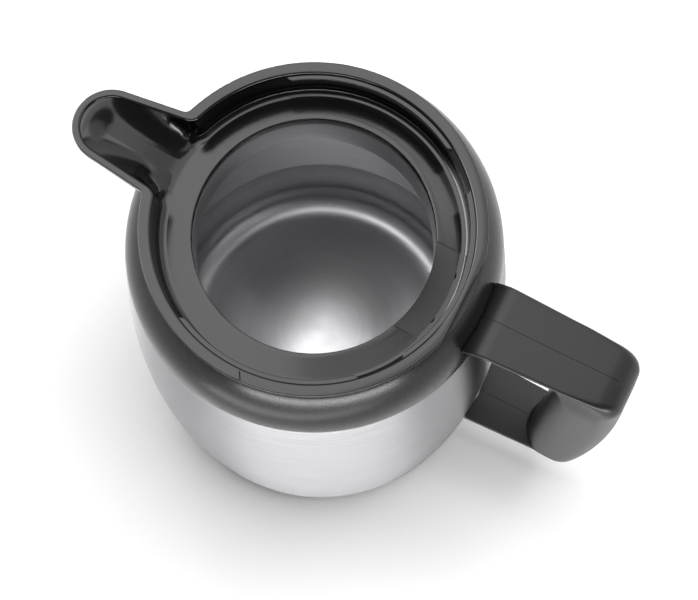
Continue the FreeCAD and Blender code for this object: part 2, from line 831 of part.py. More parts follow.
def handle_bracket():
    """Steel angle on the barrel inside the lower arm, drilled for the pair of screws."""
    gap = d.handle_wall + d.fit
    high = bracket_low + d.ring_thickness
    plate = block(
        "bracket_plate",
        (bracket_face, -d.tongue_half, low_arm_under + gap),
        (bracket_face + d.ring_thickness, d.tongue_half, d.low_arm_top - gap),
    )
    tab = block(
        "bracket_tab",
        (bracket_face, -d.tongue_half, bracket_low),
        (bracket_end, d.tongue_half, high),
    )
    angle = fused("bracket_angle", plate, tab)
    hole = d.screw_radius + d.thread
    return drilled("handle_bracket", angle, bracket_screw_places, hole, bracket_low, high)


def handle_screws(name, places, head_level, end_level):
    """A pair of screws from under an arm of the handle."""
    return group(name, *[
        screw(f"{name}_{number}", place, head_level, end_level) for number, place in enumerate(places)
    ])


pieces = [
    outer_shell(),
    liner_body(),
    liner_cup(),
    radiation_foil(),
    base_plate(),
    vacuum_seal(),
    *getter_pieces(),
    base_cover(),
    foot_ring(),
    neck_gasket(),
    neck_ring(),
    shoulder_band(),
    pouring_collar(),
    ledge_sector("ledge_plate", as_size(0)),
    collar_screws(),
    *handle_halves(),
    handle_pins(),
    handle_bracket(),
    handle_screws("tongue_screws", tongue_screw_places, upper_sink, ring_top),
    handle_screws("bracket_screws", bracket_screw_places, lower_sink, bracket_low + d.ring_thickness),
]
doc.recompute()

for item in doc.Objects:
    if {"Invalid", "Error"} & set(item.State):
        raise RuntimeError(f"{item.Label} failed: {item.State}")
for piece in pieces:
    if piece.Shape.isNull() or not piece.Shape.isValid() or not piece.Shape.Solids:
        raise RuntimeError(f"{piece.Label} has no sound shape")

os.makedirs("parts", exist_ok=True)
for piece in pieces:
    piece.Shape.exportStep(f"parts/{piece.Label}.step")
    print(piece.Label, len(piece.Shape.Solids), round(piece.Shape.Volume, 1))
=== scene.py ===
"""Insulated steel coffee pot with its lid off, finished around its packed construction."""

import json
import math

import bmesh
import bpy
import numpy as np
from bpy.props import FloatProperty, FloatVectorProperty, PointerProperty
from mathutils import Matrix, Vector


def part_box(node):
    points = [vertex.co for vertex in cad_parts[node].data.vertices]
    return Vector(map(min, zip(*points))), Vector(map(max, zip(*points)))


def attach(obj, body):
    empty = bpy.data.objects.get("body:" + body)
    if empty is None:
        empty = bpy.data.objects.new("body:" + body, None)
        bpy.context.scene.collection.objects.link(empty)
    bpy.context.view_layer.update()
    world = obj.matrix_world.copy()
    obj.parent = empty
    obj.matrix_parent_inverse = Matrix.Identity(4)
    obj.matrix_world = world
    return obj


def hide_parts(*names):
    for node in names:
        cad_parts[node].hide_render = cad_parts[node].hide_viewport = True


bl_info = {
    "name": "Coffee Pot",
    "version": (1, 0, 0),
    "blender": (4, 5, 0),
    "location": "View3D > Sidebar > Coffee Pot",
    "description": "Builds the finished surfaces of an insulated steel coffee pot",
    "category": "Add Mesh",
}

MM = 0.001
BODY = "root"
HALF_TURN = math.pi
FULL_TURN = 2 * math.pi

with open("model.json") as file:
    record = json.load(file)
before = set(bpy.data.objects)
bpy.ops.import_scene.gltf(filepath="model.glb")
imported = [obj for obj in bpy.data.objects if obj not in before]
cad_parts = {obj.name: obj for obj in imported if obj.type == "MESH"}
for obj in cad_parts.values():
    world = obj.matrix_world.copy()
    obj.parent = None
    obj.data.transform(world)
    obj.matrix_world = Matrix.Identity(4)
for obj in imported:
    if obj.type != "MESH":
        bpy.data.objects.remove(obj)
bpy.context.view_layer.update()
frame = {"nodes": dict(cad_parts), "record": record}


def linear(hex_colour):
    """A written sRGB colour as the linear values that shaders take."""
    channels = [int(hex_colour[place:place + 2], 16) / 255 for place in (1, 3, 5)]
    return tuple(c / 12.92 if c <= 0.04045 else ((c + 0.055) / 1.055) ** 2.4 for c in channels)


def node_low(node):
    """Lowest corner of a node of the construction."""
    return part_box(node)[0]


def node_high(node):
    """Highest corner of a node of the construction."""
    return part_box(node)[1]


def mouth_radius():
    """Radius of the mouth, from the record's mount for the lid."""
    for mount in frame["record"]["mounts"]:
        if mount["name"] == "lid_mouth":
            return mount["dims"]["r_mm"] * MM
    raise RuntimeError("the record has no lid_mouth")


# Radii and levels that the pieces share, taken from the construction.
MOUTH = mouth_radius()
LEDGE = node_high("ledge_plate").z
RIM = node_high("pouring_collar").z
RIM_RADIUS = node_high("pouring_collar").y
RIM_FLAT = node_high("pouring_collar").x
SPOUT_TIP = node_low("pouring_collar").x
BAND_RADIUS = node_high("shoulder_band").y
BAND_FOOT = node_low("shoulder_band").z
BAND_TOP = node_high("shoulder_band").z
LIP = node_high("liner_body").z
LINER_OUTSIDE = node_high("liner_cup").y
WELD = node_high("liner_cup").z
BARREL_FOOT = node_low("outer_shell").z
SHELL_TOP = node_high("outer_shell").z
LEDGE_UNDER = node_high("neck_gasket").z
ARM_TOP = node_high("handle_left").z
ARM_LOW = node_low("handle_left").z


def length_property(title, meaning, millimetres):
    """A size that the user can change, written in millimetres."""
    return FloatProperty(
        name=title, description=meaning, default=millimetres * MM, min=0.0, unit="LENGTH", precision=5
    )


def angle_property(title, meaning, degrees):
    """An angle that the user can change, written in degrees."""
    return FloatProperty(name=title, description=meaning, default=math.radians(degrees), subtype="ANGLE")


def colour_property(title, meaning, hex_colour):
    """A colour that the user can change, written as sRGB."""
    return FloatVectorProperty(
        name=title, description=meaning, default=linear(hex_colour), size=3, min=0, max=1, subtype="COLOR"
    )


class CoffeePotSizes(bpy.types.PropertyGroup):
    """Sizes of the finished surfaces that the construction doesn't give."""

    steel: length_property("Steel sheet", "Thickness of the steel sheet", 0.8)
    barrel_foot_radius: length_property("Barrel foot", "Radius of the barrel at its foot", 66.2)
    barrel_bow: length_property("Barrel bow", "Radius of the barrel's curved side", 512)
    foot_round: length_property("Foot rounding", "Rounding of the barrel's bottom edge", 2)
    hem: length_property("Hem", "Width of the hem under the barrel", 5.2)
    step: length_property("Band step", "Step in the barrel that carries the band", 2.3)
    step_rise: length_property("Step rise", "Height of the barrel's step before its shoulder leans in", 3)
    step_round: length_property("Step rounding", "Rounding between the step and the shoulder", 4)
    seat_drop: length_property("Seat drop", "Barrel's level seat below the liner's lip", 3.3)
    seat_radius: length_property("Seat radius", "Where the barrel's shoulder turns level", 49.5)
    seat_round: length_property("Seat rounding", "Rounding between the shoulder and the seat", 6)
    neck_round: length_property("Neck rounding", "Rounding between the seat and the barrel's neck", 1)
    neck: length_property("Neck", "Straight part of the liner's neck", 12)
    flare: length_property("Neck flare", "Radius where the neck opens into the belly", 9)
    shoulder: length_property("Liner shoulder", "Height of the liner's shoulder", 36.2)
    liner_corner: length_property("Liner corner", "Rounding between the liner's floor and wall", 10)
    floor_dome: length_property("Floor dome", "Height of the domed floor", 6)
    weld_height: length_property("Weld height", "Height of the rolled weld round the liner", 1.12)
    weld_proud: length_property("Weld bead", "How far the weld stands out of the wall", 0.175)
    band_crown: length_property("Band crown", "Radius of the band's rounded outside", 26)
    band_inset: length_property("Band inset", "Band's top in from the rim's edge", 0.5)
    band_gap: length_property("Band gap", "Gap between the band's inside and what it is pushed over", 0.3)
    edge: length_property("Moulded edge", "Rounding of moulded edges", 0.4)
    rim_width: length_property("Rim width", "Width of the rim's top", 4.0)
    rim_overhang: length_property("Rim overhang", "Rim out from the collar's outer wall", 3.5)
    rim_face: length_property("Rim face", "Height of the rim's outer face", 4.3)
    wall_draft: length_property("Wall draft", "Collar's inner wall leans in by this", 0.8)
    ledge_fillet: length_property("Ledge fillet", "Rounding between ledge and collar wall", 2.6)
    rim_round: length_property("Rim rounding", "Rounding of the rim's inner edge", 0.9)
    ledge_slope: angle_property("Ledge slope", "How steeply the ledge falls from the mouth", 8.8)
    plate_reach: length_property("Plate reach", "Plate's outer end from the axis", 49.0)
    collar_wall: length_property("Collar wall", "Spout's root in from the rim", 5.5)
    plate_half: length_property("Plate half", "Half width of the plate in the ledge", 15.4)
    mark_width: length_property("Mark width", "Width of the closing mark across the rim", 2.9)
    mark_tall: length_property("Mark height", "Closing mark above the rim", 0.5)
    mark_slant: length_property("Mark slant", "Foot of the closing mark's steep face out from its top", 0.4)
    mark_sink: length_property("Mark sink", "Closing mark's foot below the rim's top", 0.05)
    mark_edge: length_property("Mark edge", "Bevel of the closing mark's edges", 0.06)
    mark_start: angle_property("Mark start", "Steep end of the closing mark", -86.8)
    mark_corner: angle_property("Mark corner", "Inner corner of the closing mark", -88.3)
    mark_end: angle_property("Mark end", "Low end of the closing mark", -90.1)
    spout_root: length_property("Spout root", "Half width of the spout at the collar", 15.3)
    spout_round: length_property("Spout tip", "Radius of the spout's tip", 12.3)
    spout_fillet: length_property("Spout fillet", "Rounding where the spout leaves the rim", 2.6)
    spout_rim: length_property("Spout rim", "Width of the rim along the spout", 2.6)
    spout_face: length_property("Spout face", "Height of the spout's upright outer face", 2.2)
    hull_width: length_property("Spout hull", "Width of the spout's rounded underside", 10.6)
    notch_gap: length_property("Notch gap", "Gap between the band and the spout's underside", 0.3)
    trough_round: length_property("Trough rounding", "Trough settles into its scoop within this", 14)
    trough_dip: length_property("Trough dip", "Trough's dip below the ledge", 0.2)
    trough_step: length_property("Trough step", "Length over which the trough dips", 4)
    trough_tip: length_property("Trough tip", "Trough's floor below the rim at the tip", 0.3)
    trough_crease: length_property("Trough crease", "Length over which the trough starts to rise", 1)
    trough_wall: length_property("Trough wall", "Thickness under the trough", 1.7)
    scoop_reach: length_property("Scoop reach", "Most that the scoop's sections reach in from the rim", 16)
    lug_depth: length_property("Lug depth", "How far a lid lug stands out of the wall", 1.5)
    lug_height: length_property("Lug height", "Height of a lid lug", 2)
    lug_drop: length_property("Lug drop", "Top of a lug below the rim", 1.4)
    lug_end: length_property("Lug end", "Length over which a lug's end rounds off", 2.2)
    lug_span: angle_property("Lug span", "How far round the wall a lug goes", 70)
    lug_first: angle_property("First lug", "Where the first lug lies", -82)
    lug_apart: angle_property("Lug spacing", "Turn from one lug to the next", 87)
    seam: length_property("Seam", "Gap between neighbouring mouldings", 0.12)
    grip_inner: length_property("Grip inside", "Grip's inner face from the axis", 90.2)
    grip_end: length_property("Grip ends", "Grip's outer face from the axis, at its ends", 110.6)
    grip_bow: length_property("Grip bow", "Radius of the grip's slightly bowed outer face", 430)
    handle_gap: length_property("Handle gap", "Gap between the handle and the pot", 0.3)
    arm: length_property("Arm", "Thickness of the handle's arms", 13)
    root_half: length_property("Handle root", "Handle's half width at the rim", 13.4)
    end_half: length_property("Handle end", "Handle's half width at the grip", 11.2)
    root_start: length_property("Handle start", "Upper arm's end from the axis", 58.6)
    top_bend: length_property("Top bend", "Bend between upper arm and grip", 8)
    low_bend: length_property("Low bend", "Bend between lower arm and grip", 16)
    finger_bend: length_property("Finger bend", "Bends inside the finger gap", 7)
    low_finger_bend: length_property("Low finger bend", "Lower bend inside the finger gap", 1.5)
    root_drop: length_property("Root drop", "Upper arm's top rolls down by this at the pot", 3.5)
    root_roll: length_property("Root roll", "Length over which the upper arm's top rolls down", 4.5)
    root_round: length_property("Root rounding", "Rounding where the upper arm's top rolls down", 9)
    handle_seam: length_property("Handle seam", "Gap between the handle's halves", 0.05)
    crisp_edge: length_property("Crisp edge", "Rounding along the arms' upper edges", 0.9)
    arm_edge: length_property("Arm edge", "Rounding along the arms' lower edges", 3)
    grip_edge: length_property("Grip edge", "Rounding along the grip", 7)
    side_lean: FloatProperty(name="Side lean", description="How far the arms narrow downwards",
                             default=0.4, min=0.0)
    finger_edge: length_property("Finger edge", "Rounding along the finger gap", 9)
    screw_head: length_property("Screw head", "Height of a screw's head", 1.2)
    screw_gap: length_property("Screw gap", "Gap round a screw's head", 0.3)
    base_dish: length_property("Base dish", "Height of the base's hollow underside", 1.4)
    base_rib: length_property("Base rib", "Width of a raised ring under the base", 1.2)
    rib_first: length_property("First ring", "Radius of the innermost raised ring", 12)
    rib_apart: length_property("Ring spacing", "Distance from one raised ring to the next", 9)
    rib_margin: length_property("Ring margin", "Room between the raised rings and the foot ring", 6)
    base_lip: length_property("Base lip", "Width of the lip inside the foot ring, and of its slope", 2)
    base_wall: length_property("Base wall", "Thickness of the base cover", 1.8)
    foot_width: length_property("Foot width", "Width of the rubber ring", 2.2)
    foot_gap: length_property("Foot gap", "Gap between the rubber ring and its groove", 0.05)
    tread_width: length_property("Tread width", "Width of the groove in the rubber ring's foot", 0.4)
    tread_depth: length_property("Tread depth", "Depth of the groove in the rubber ring's foot", 0.3)


class CoffeePotColours(bpy.types.PropertyGroup):
    """Colours of the finishes."""

    brushed: colour_property("Brushed steel", "Barrel", "#a6a6a8")
    drawn: colour_property("Drawn steel", "Liner and pressed steel pieces", "#bcbcbe")
    matte: colour_property("Textured plastic", "Band, handle and base", "#171718")
    gloss: colour_property("Polished plastic", "Collar, its plate, lugs and mark", "#0c0c0d")
    rubber: colour_property("Rubber", "Foot ring", "#141414")
    silicone: colour_property("Silicone", "Gasket under the collar", "#8c8c8a")
    zinc: colour_property("Zinc plate", "Screws and pins", "#b9b9ba")
    foil: colour_property("Foil", "Foil round the liner", "#d2d4d6")
    glass: colour_property("Solder glass", "Seal of the vacuum space", "#3c4044")
    getter: colour_property("Getter", "Pellet in the vacuum space", "#5a5a5c")
    floor: colour_property("Floor", "Table under the pot", "#f4f4f4")


class CoffeePotStage(bpy.types.PropertyGroup):
    """Place and lens of the camera."""

    azimuth: angle_property("Azimuth", "Camera round the pot", 27.0)
    elevation: angle_property("Elevation", "Camera above the table", 75.1)
    distance: length_property("Distance", "Camera from the point it looks at", 429.2)
    aim_along: FloatProperty(name="Aim along", description="Point looked at, towards the handle",
                             default=21.1 * MM, unit="LENGTH")
    aim_across: FloatProperty(name="Aim across", description="Point looked at, across the handle",
                              default=-16.8 * MM, unit="LENGTH")
    lens: FloatProperty(name="Lens", description="Focal length in millimetres", default=72.2)


def add_node(tree, kind, values=None, links=None, **settings):
    """Adds a node, sets its settings and socket values, and links named inputs to other sockets."""
    node = tree.nodes.new(kind)
    for name, value in settings.items():
        setattr(node, name, value)
    for name, value in (values or {}).items():
        node.inputs[name].default_value = value
    for name, source in (links or {}).items():
        tree.links.new(source, node.inputs[name])
    return node


def new_material(name, colour, roughness, metallic=0.0, **sockets):
    """A material with one Principled shader, together with its node tree and that shader."""
    material = bpy.data.materials.new(name)
    material.use_nodes = True
    tree = material.node_tree
    shader = tree.nodes["Principled BSDF"]
    shader.inputs["Base Color"].default_value = (*colour, 1)
    shader.inputs["Roughness"].default_value = roughness
    shader.inputs["Metallic"].default_value = metallic
    for socket, value in sockets.items():
        shader.inputs[socket.replace("_", " ")].default_value = value
    return material, tree, shader


def level_lines(tree, length, spacing, detail, roughness=0.5):
    """A pattern of level lines on the unrolled surface, with their length and spacing in millimetres."""
    surface = add_node(tree, "ShaderNodeUVMap", uv_map="surface")
    stretched = add_node(
        tree, "ShaderNodeMapping",
        values={"Scale": (1 / length, 1 / spacing, 1)}, links={"Vector": surface.outputs["UV"]},
    )
    lines = add_node(
        tree, "ShaderNodeTexNoise",
        values={"Scale": 1.0, "Detail": detail, "Roughness": roughness},
        links={"Vector": stretched.outputs["Vector"]},
    )
    return lines.outputs["Fac"]


def clouds(tree, size, detail):
    """A pattern of soft clouds through the piece, with their size in millimetres."""
    place = add_node(tree, "ShaderNodeTexCoord")
    noise = add_node(
        tree, "ShaderNodeTexNoise",
        values={"Scale": 1 / (size * MM), "Detail": detail}, links={"Vector": place.outputs["Object"]},
    )
    return noise.outputs["Fac"]


def led_by(pattern, tree, shader, spread=(0.3, 0.7), dull=None, tint=None, relief=None):
    """Lets a pattern lead a shader's roughness, tint and relief, each of them where it is given.

    dull and tint hold the roughness and the colour at the two ends of the pattern's spread, and relief holds
    the bump's strength and its height in millimetres.
    """
    ends = {"From Min": spread[0], "From Max": spread[1]}
    if dull:
        rough = add_node(
            tree, "ShaderNodeMapRange",
            values={**ends, "To Min": dull[0], "To Max": dull[1]}, links={"Value": pattern},
        )
        tree.links.new(rough.outputs["Result"], shader.inputs["Roughness"])
    if tint:
        share = add_node(tree, "ShaderNodeMapRange", values=ends, links={"Value": pattern})
        shade = add_node(
            tree, "ShaderNodeMix", data_type="RGBA",
            values={"A": (*tint[0], 1), "B": (*tint[1], 1)}, links={"Factor": share.outputs["Result"]},
        )
        tree.links.new(shade.outputs["Result"], shader.inputs["Base Color"])
    if relief:
        bump = add_node(
            tree, "ShaderNodeBump",
            values={"Strength": relief[0], "Distance": relief[1] * MM}, links={"Height": pattern},
        )
        tree.links.new(bump.outputs["Normal"], shader.inputs["Normal"])


def brushed_steel(name, colour):
    """Stainless steel, belt brushed round the barrel: fine level lines that draw highlights upright."""
    material, tree, shader = new_material(
        name, colour, 0.42, metallic=1.0, Anisotropic=0.9, Anisotropic_Rotation=0.25,
    )
    line_length = 60.0
    # Real brush lines lie about 0.05 mm apart; drawn up to 1.5 mm apart so that they show.
    line_spacing = 1.5
    darkest_line = [channel * 0.7 for channel in colour]
    lines = level_lines(tree, line_length, line_spacing, detail=4.0, roughness=0.75)
    led_by(lines, tree, shader, dull=(0.36, 0.5), relief=(0.12, 0.02))
    led_by(lines, tree, shader, spread=(0.3, 0.65), tint=(darkest_line, colour))
    return material


def drawn_steel(name, colour):
    """Stainless steel, deep drawn and turned: satin, with faint level rings and soft mottling."""
    material, tree, shader = new_material(
        name, colour, 0.3, metallic=1.0, Anisotropic=0.6, Anisotropic_Rotation=0.25,
    )
    ring_length = 200.0
    ring_spacing = 0.6
    band_length = 300.0
    band_spacing = 4.0
    mottle_size = 25.0
    darkest_band = [channel * 0.92 for channel in colour]
    rings = level_lines(tree, ring_length, ring_spacing, detail=2.0)
    led_by(rings, tree, shader, relief=(0.08, 0.02))
    bands = level_lines(tree, band_length, band_spacing, detail=2.0)
    led_by(bands, tree, shader, spread=(0.3, 0.6), tint=(darkest_band, colour))
    mottle = clouds(tree, mottle_size, detail=1.0)
    led_by(mottle, tree, shader, spread=(0.25, 0.75), dull=(0.28, 0.32))
    return material


def grained(name, colour, roughness, reflection=0.5):
    """A finish moulded in a spark-eroded tool: a fine even grain that spreads highlights."""
    material, tree, shader = new_material(name, colour, roughness, Specular_IOR_Level=reflection)
    grain_size = 0.35
    grain = clouds(tree, grain_size, detail=2.0)
    led_by(grain, tree, shader, dull=(roughness - 0.05, roughness + 0.06), relief=(0.25, 0.03))
    return material


def polished_plastic(name, colour):
    """Polypropylene moulded in a polished tool: deep black, clear reflections with a faint haze."""
    material, tree, shader = new_material(name, colour, 0.15)
    haze_size = 1.2
    led_by(clouds(tree, haze_size, detail=5.0), tree, shader, dull=(0.13, 0.18))
    return material


def cloudy(name, colour, roughness, metallic, size, height):
    """A finish whose gloss and relief vary in clouds, with their size and height in millimetres."""
    material, tree, shader = new_material(name, colour, roughness, metallic)
    cloud = clouds(tree, size, detail=4.0)
    led_by(cloud, tree, shader, dull=(roughness * 0.8, roughness * 1.25), relief=(0.3, height))
    return material


def material_for(name):
    """A finish by name, made the first time that it is asked for."""
    colours = bpy.context.scene.coffee_pot_colours
    makers = {
        "brushed_stainless_steel": lambda: brushed_steel(name, colours.brushed),
        "drawn_stainless_steel": lambda: drawn_steel(name, colours.drawn),
        # ABS moulded in a fine tool: black with a soft sheen, for the band and the base.
        "textured_black_plastic": lambda: grained(name, colours.matte, roughness=0.25, reflection=0.3),
        # ABS moulded in a coarser tool: black with a broad, dull sheen, for the handle.
        "grained_black_plastic": lambda: grained(name, colours.matte, roughness=0.36, reflection=0.36),
        "polished_black_plastic": lambda: polished_plastic(name, colours.gloss),
        # Moulded EPDM rubber: dull black with a soft, slightly dusty grain.
        "moulded_rubber": lambda: grained(name, colours.rubber, roughness=0.7),
        # Moulded silicone: milky grey with a silky gloss.
        "silicone_rubber": lambda: grained(name, colours.silicone, roughness=0.5),
        # Zinc plated steel: grey metal with a cloudy gloss.
        "zinc_plated_steel": lambda: cloudy(name, colours.zinc, 0.35, 1.0, size=2.0, height=0.005),
        # Pressed stainless steel sheet: satin metal with long soft clouds from the press.
        "pressed_steel": lambda: cloudy(name, colours.drawn, 0.32, 1.0, size=9.0, height=0.01),
        # Rolled aluminium foil: bright, with fine crinkles.
        "aluminium_foil": lambda: cloudy(name, colours.foil, 0.2, 1.0, size=4.0, height=0.2),
        # Fired solder glass: glossy grey bead with a faint skin.
        "solder_glass": lambda: cloudy(name, colours.glass, 0.12, 0.0, size=1.5, height=0.02),
        # Sintered zirconium getter: dark, dull and grainy.
        "sintered_getter": lambda: cloudy(name, colours.getter, 0.6, 1.0, size=0.4, height=0.05),
    }
    return bpy.data.materials.get(name) or makers[name]()


def arc(centre, radius, start, end, steps):
    """Points along an arc in a flat plane, from one angle to another."""
    angles = np.linspace(start, end, steps + 1)
    return [(centre[0] + radius * math.cos(a), centre[1] + radius * math.sin(a)) for a in angles]


def bowed(start, end, radius, steps):
    """Points of the short arc between two points; a positive radius turns left on its way."""
    start = np.array(start, float)
    end = np.array(end, float)
    along = end - start
    chord = np.linalg.norm(along)
    left = np.array([-along[1], along[0]]) / chord
    side = math.copysign(1, radius)
    centre = (start + end) / 2 + left * side * math.sqrt(radius * radius - chord * chord / 4)
    first = math.atan2(*(start - centre)[::-1])
    turn = 2 * math.asin(chord / 2 / abs(radius)) * side
    return arc(centre, abs(radius), first, first + turn, steps)


def rounded(corners, steps=5):
    """Points of an open line whose corners (across, up, radius) are rounded."""
    points = []
    for index, (across, up, *radius) in enumerate(corners):
        inner = 0 < index < len(corners) - 1
        if not radius or not inner:
            points.append((across, up))
            continue
        corner = np.array([across, up])
        before = np.array(corners[index - 1][:2]) - corner
        after = np.array(corners[index + 1][:2]) - corner
        before /= np.linalg.norm(before)
        after /= np.linalg.norm(after)
        half = math.acos(np.clip(before @ after, -1, 1)) / 2
        start = corner + before * radius[0] / math.tan(half)
        end = corner + after * radius[0] / math.tan(half)
        left = before[0] * after[1] - before[1] * after[0] < 0
        points += bowed(start, end, radius[0] if left else -radius[0], steps)
    return points


def resampled(line, count):
    """A line's points again, evenly spaced along it."""
    line = np.array(line, float)
    along = np.r_[0, np.cumsum(np.linalg.norm(np.diff(line, axis=0), axis=1))]
    places = np.linspace(0, along[-1], count)
    return np.stack([np.interp(places, along, line[:, axis]) for axis in range(line.shape[1])], 1)


def skin(name, points, wrap_rows=True, wrap_columns=True, flat_places=None, sharp=40):
    """A smooth mesh over a grid of points, closed along its rows and columns where they wrap.

    Edges that bend by more than the angle sharp, in degrees, stay sharp.
    """
    points = np.asarray(points, float)
    rows, columns = points.shape[:2]
    row = np.arange(rows if wrap_rows else rows - 1)
    column = np.arange(columns if wrap_columns else columns - 1)
    r, c = np.meshgrid(row, column, indexing="ij")
    r, c = r.ravel(), c.ravel()
    corners = [(r, c), (r + 1, c), (r + 1, c + 1), (r, c + 1)]
    faces = np.stack([(a % rows) * columns + b % columns for a, b in corners], 1)
    mesh = bpy.data.meshes.new(name)
    mesh.from_pydata(points.reshape(-1, 3).tolist(), [], faces.tolist())
    if flat_places is not None:
        layer = mesh.uv_layers.new(name="surface")
        spots = np.stack([flat_places[a, b] for a, b in corners], 1)
        layer.uv.foreach_set("vector", spots.reshape(-1).astype(np.float32))
    clean(mesh, sharp)
    return mesh


def clean(mesh, sharp=40):
    """Merges doubled points, closes holes, turns all faces outwards and shades the mesh smooth.

    Edges that bend by more than the angle sharp, in degrees, stay sharp.
    """
    doubled = 0.002 * MM
    shortest = 0.001 * MM
    work = bmesh.new()
    work.from_mesh(mesh)
    bmesh.ops.remove_doubles(work, verts=work.verts, dist=doubled)
    bmesh.ops.dissolve_degenerate(work, edges=work.edges, dist=shortest)
    holes = [edge for edge in work.edges if edge.is_boundary]
    if holes:
        bmesh.ops.holes_fill(work, edges=holes)
    bmesh.ops.recalc_face_normals(work, faces=work.faces)
    work.to_mesh(mesh)
    work.free()
    mesh.shade_smooth()
    mesh.set_sharp_from_angle(angle=math.radians(sharp))


def turned(name, profile, steps=192, sharp=40):
    """A closed profile of (radius, height) points turned about the pot's axis, seam behind the handle."""
    profile = np.array(profile, float)
    angles = np.linspace(0, FULL_TURN, steps, endpoint=False)
    across = np.outer(np.cos(angles), profile[:, 0])
    along = np.outer(np.sin(angles), profile[:, 0])
    up = np.broadcast_to(profile[:, 1], across.shape)
    closed = np.vstack([profile, profile[:1]])
    length = np.r_[0, np.cumsum(np.linalg.norm(np.diff(closed, axis=0), axis=1))] / MM
    round_way = np.linspace(0, FULL_TURN * profile[:, 0].max() / MM, steps + 1)
    places = np.stack(np.broadcast_arrays(round_way[:, None], length[None, :]), 2)
    return skin(name, np.stack([across, along, up], 2), flat_places=places, sharp=sharp)


def place_piece(name, mesh, finish, slot, *nodes):
    """Puts a finished piece on the pot: its finish, its body and the nodes that it stands for. The slot is
    not used.
    """
    piece = bpy.data.objects.new(name, mesh)
    bpy.context.scene.collection.objects.link(piece)
    if not mesh.materials:
        mesh.materials.append(material_for(finish))
    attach(piece, BODY)
    if nodes:
        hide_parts(*nodes)
    return piece


def barrel_side(sizes, steps=40):
    """The barrel's bowed side from its foot to its top edge."""
    foot = (sizes.barrel_foot_radius, BARREL_FOOT + sizes.foot_round)
    return bowed(foot, (BAND_RADIUS, BAND_FOOT), sizes.barrel_bow, steps)


def band_side(sizes, steps=20):
    """The band's crowned outside from its foot to its top edge."""
    top = (RIM_RADIUS - sizes.band_inset, BAND_TOP)
    return bowed((BAND_RADIUS, BAND_FOOT), top, sizes.band_crown, steps)


class MakeBarrel(bpy.types.Operator):
    """Brushed steel barrel with its hem, shoulder and neck"""

    bl_idname = "coffee_pot.make_barrel"
    bl_label = "Barrel"

    def execute(self, context):
        sizes = context.scene.coffee_pot_sizes
        foot = sizes.barrel_foot_radius
        step = BAND_RADIUS - sizes.step
        neck = MOUTH + sizes.steel * 2
        side = barrel_side(sizes)
        seat = LIP - sizes.seat_drop
        # A little tighter than its room, so that its arc ends before the side's second point.
        hem_round = sizes.foot_round * 0.95
        outside = rounded([(foot - sizes.hem, BARREL_FOOT), (foot, BARREL_FOOT, hem_round), side[1]])
        outside += side[2:-1]
        outside += rounded([
            side[-2], (BAND_RADIUS, BAND_FOOT, sizes.edge), (step, BAND_FOOT, sizes.edge),
            (step - sizes.steel, BAND_FOOT + sizes.step_rise, sizes.step_round),
            (sizes.seat_radius, seat, sizes.seat_round), (neck, seat, sizes.neck_round), (neck, SHELL_TOP),
        ])[1:]
        # The inside follows the outside, one sheet further in and a little lower.
        lower = sizes.steel * 0.2
        inside = [(r - sizes.steel, z - lower) for r, z in reversed(outside[1:])]
        inside = [(r, max(z, BARREL_FOOT + sizes.steel)) for r, z in inside]
        mesh = turned("barrel", outside + inside, steps=256)
        place_piece("barrel", mesh, "brushed_stainless_steel", "brushed_steel", "outer_shell")
        return {"FINISHED"}


def belly_profile(sizes):
    """The liner's neck and belly above the weld, as a closed profile."""
    inside = LINER_OUTSIDE - sizes.steel
    inset = inside - MOUTH
    neck_foot = LIP - sizes.neck
    belly_top = neck_foot - sizes.shoulder
    # The shoulder is two arcs, belly and flare, which meet where they lean alike.
    both = (inset ** 2 + sizes.shoulder ** 2) / (2 * inset)
    belly = both - sizes.flare
    lean = math.asin(sizes.shoulder / both)
    wall = [(inside, WELD), (inside, WELD + sizes.weld_height), (inside, belly_top)]
    wall += arc((inside - belly, belly_top), belly, 0, lean, 24)[1:]
    wall += arc((MOUTH + sizes.flare, neck_foot), sizes.flare, HALF_TURN + lean, HALF_TURN, 12)
    lip_end = (MOUTH + sizes.steel * 2, LIP)
    wall += rounded([(MOUTH, neck_foot), (MOUTH, LIP, sizes.steel / 2), lip_end])[1:]
    back = [(r + sizes.steel, z) for r, z in reversed(wall) if z < LIP - sizes.steel]
    return wall + back


def cup_profile(sizes):
    """The liner's cup below the weld, with its domed floor, as a closed profile."""
    inside = LINER_OUTSIDE - sizes.steel
    floor = node_low("liner_cup").z + sizes.steel
    wall_foot = floor + sizes.liner_corner
    weld_foot = WELD - sizes.weld_height
    crease = inside - sizes.liner_corner
    dome = (crease ** 2 + sizes.floor_dome ** 2) / (2 * sizes.floor_dome)
    cup = bowed((0, floor + sizes.floor_dome), (crease, floor), -dome, 40)
    cup += arc((crease, wall_foot), sizes.liner_corner, -HALF_TURN / 2, 0, 20)[1:]
    cup += [(inside, weld_foot), (inside - sizes.weld_proud, (weld_foot + WELD) / 2), (inside, WELD)]
    under = [(r + sizes.steel if z > wall_foot else r, max(z - sizes.steel, 0)) for r, z in cup]
    return cup + under[::-1]


class MakeLiner(bpy.types.Operator):
    """Drawn steel liner: neck and belly above the weld, cup with a domed floor below it"""

    bl_idname = "coffee_pot.make_liner"
    bl_label = "Liner"

    def execute(self, context):
        sizes = context.scene.coffee_pot_sizes
        pieces = (
            ("liner_belly", belly_profile(sizes), "liner_body"),
            ("liner_cup_floor", cup_profile(sizes), "liner_cup"),
        )
        for name, profile, node in pieces:
            mesh = turned(name, profile, steps=256, sharp=50)
            place_piece(name, mesh, "drawn_stainless_steel", "liner_steel", node)
        return {"FINISHED"}


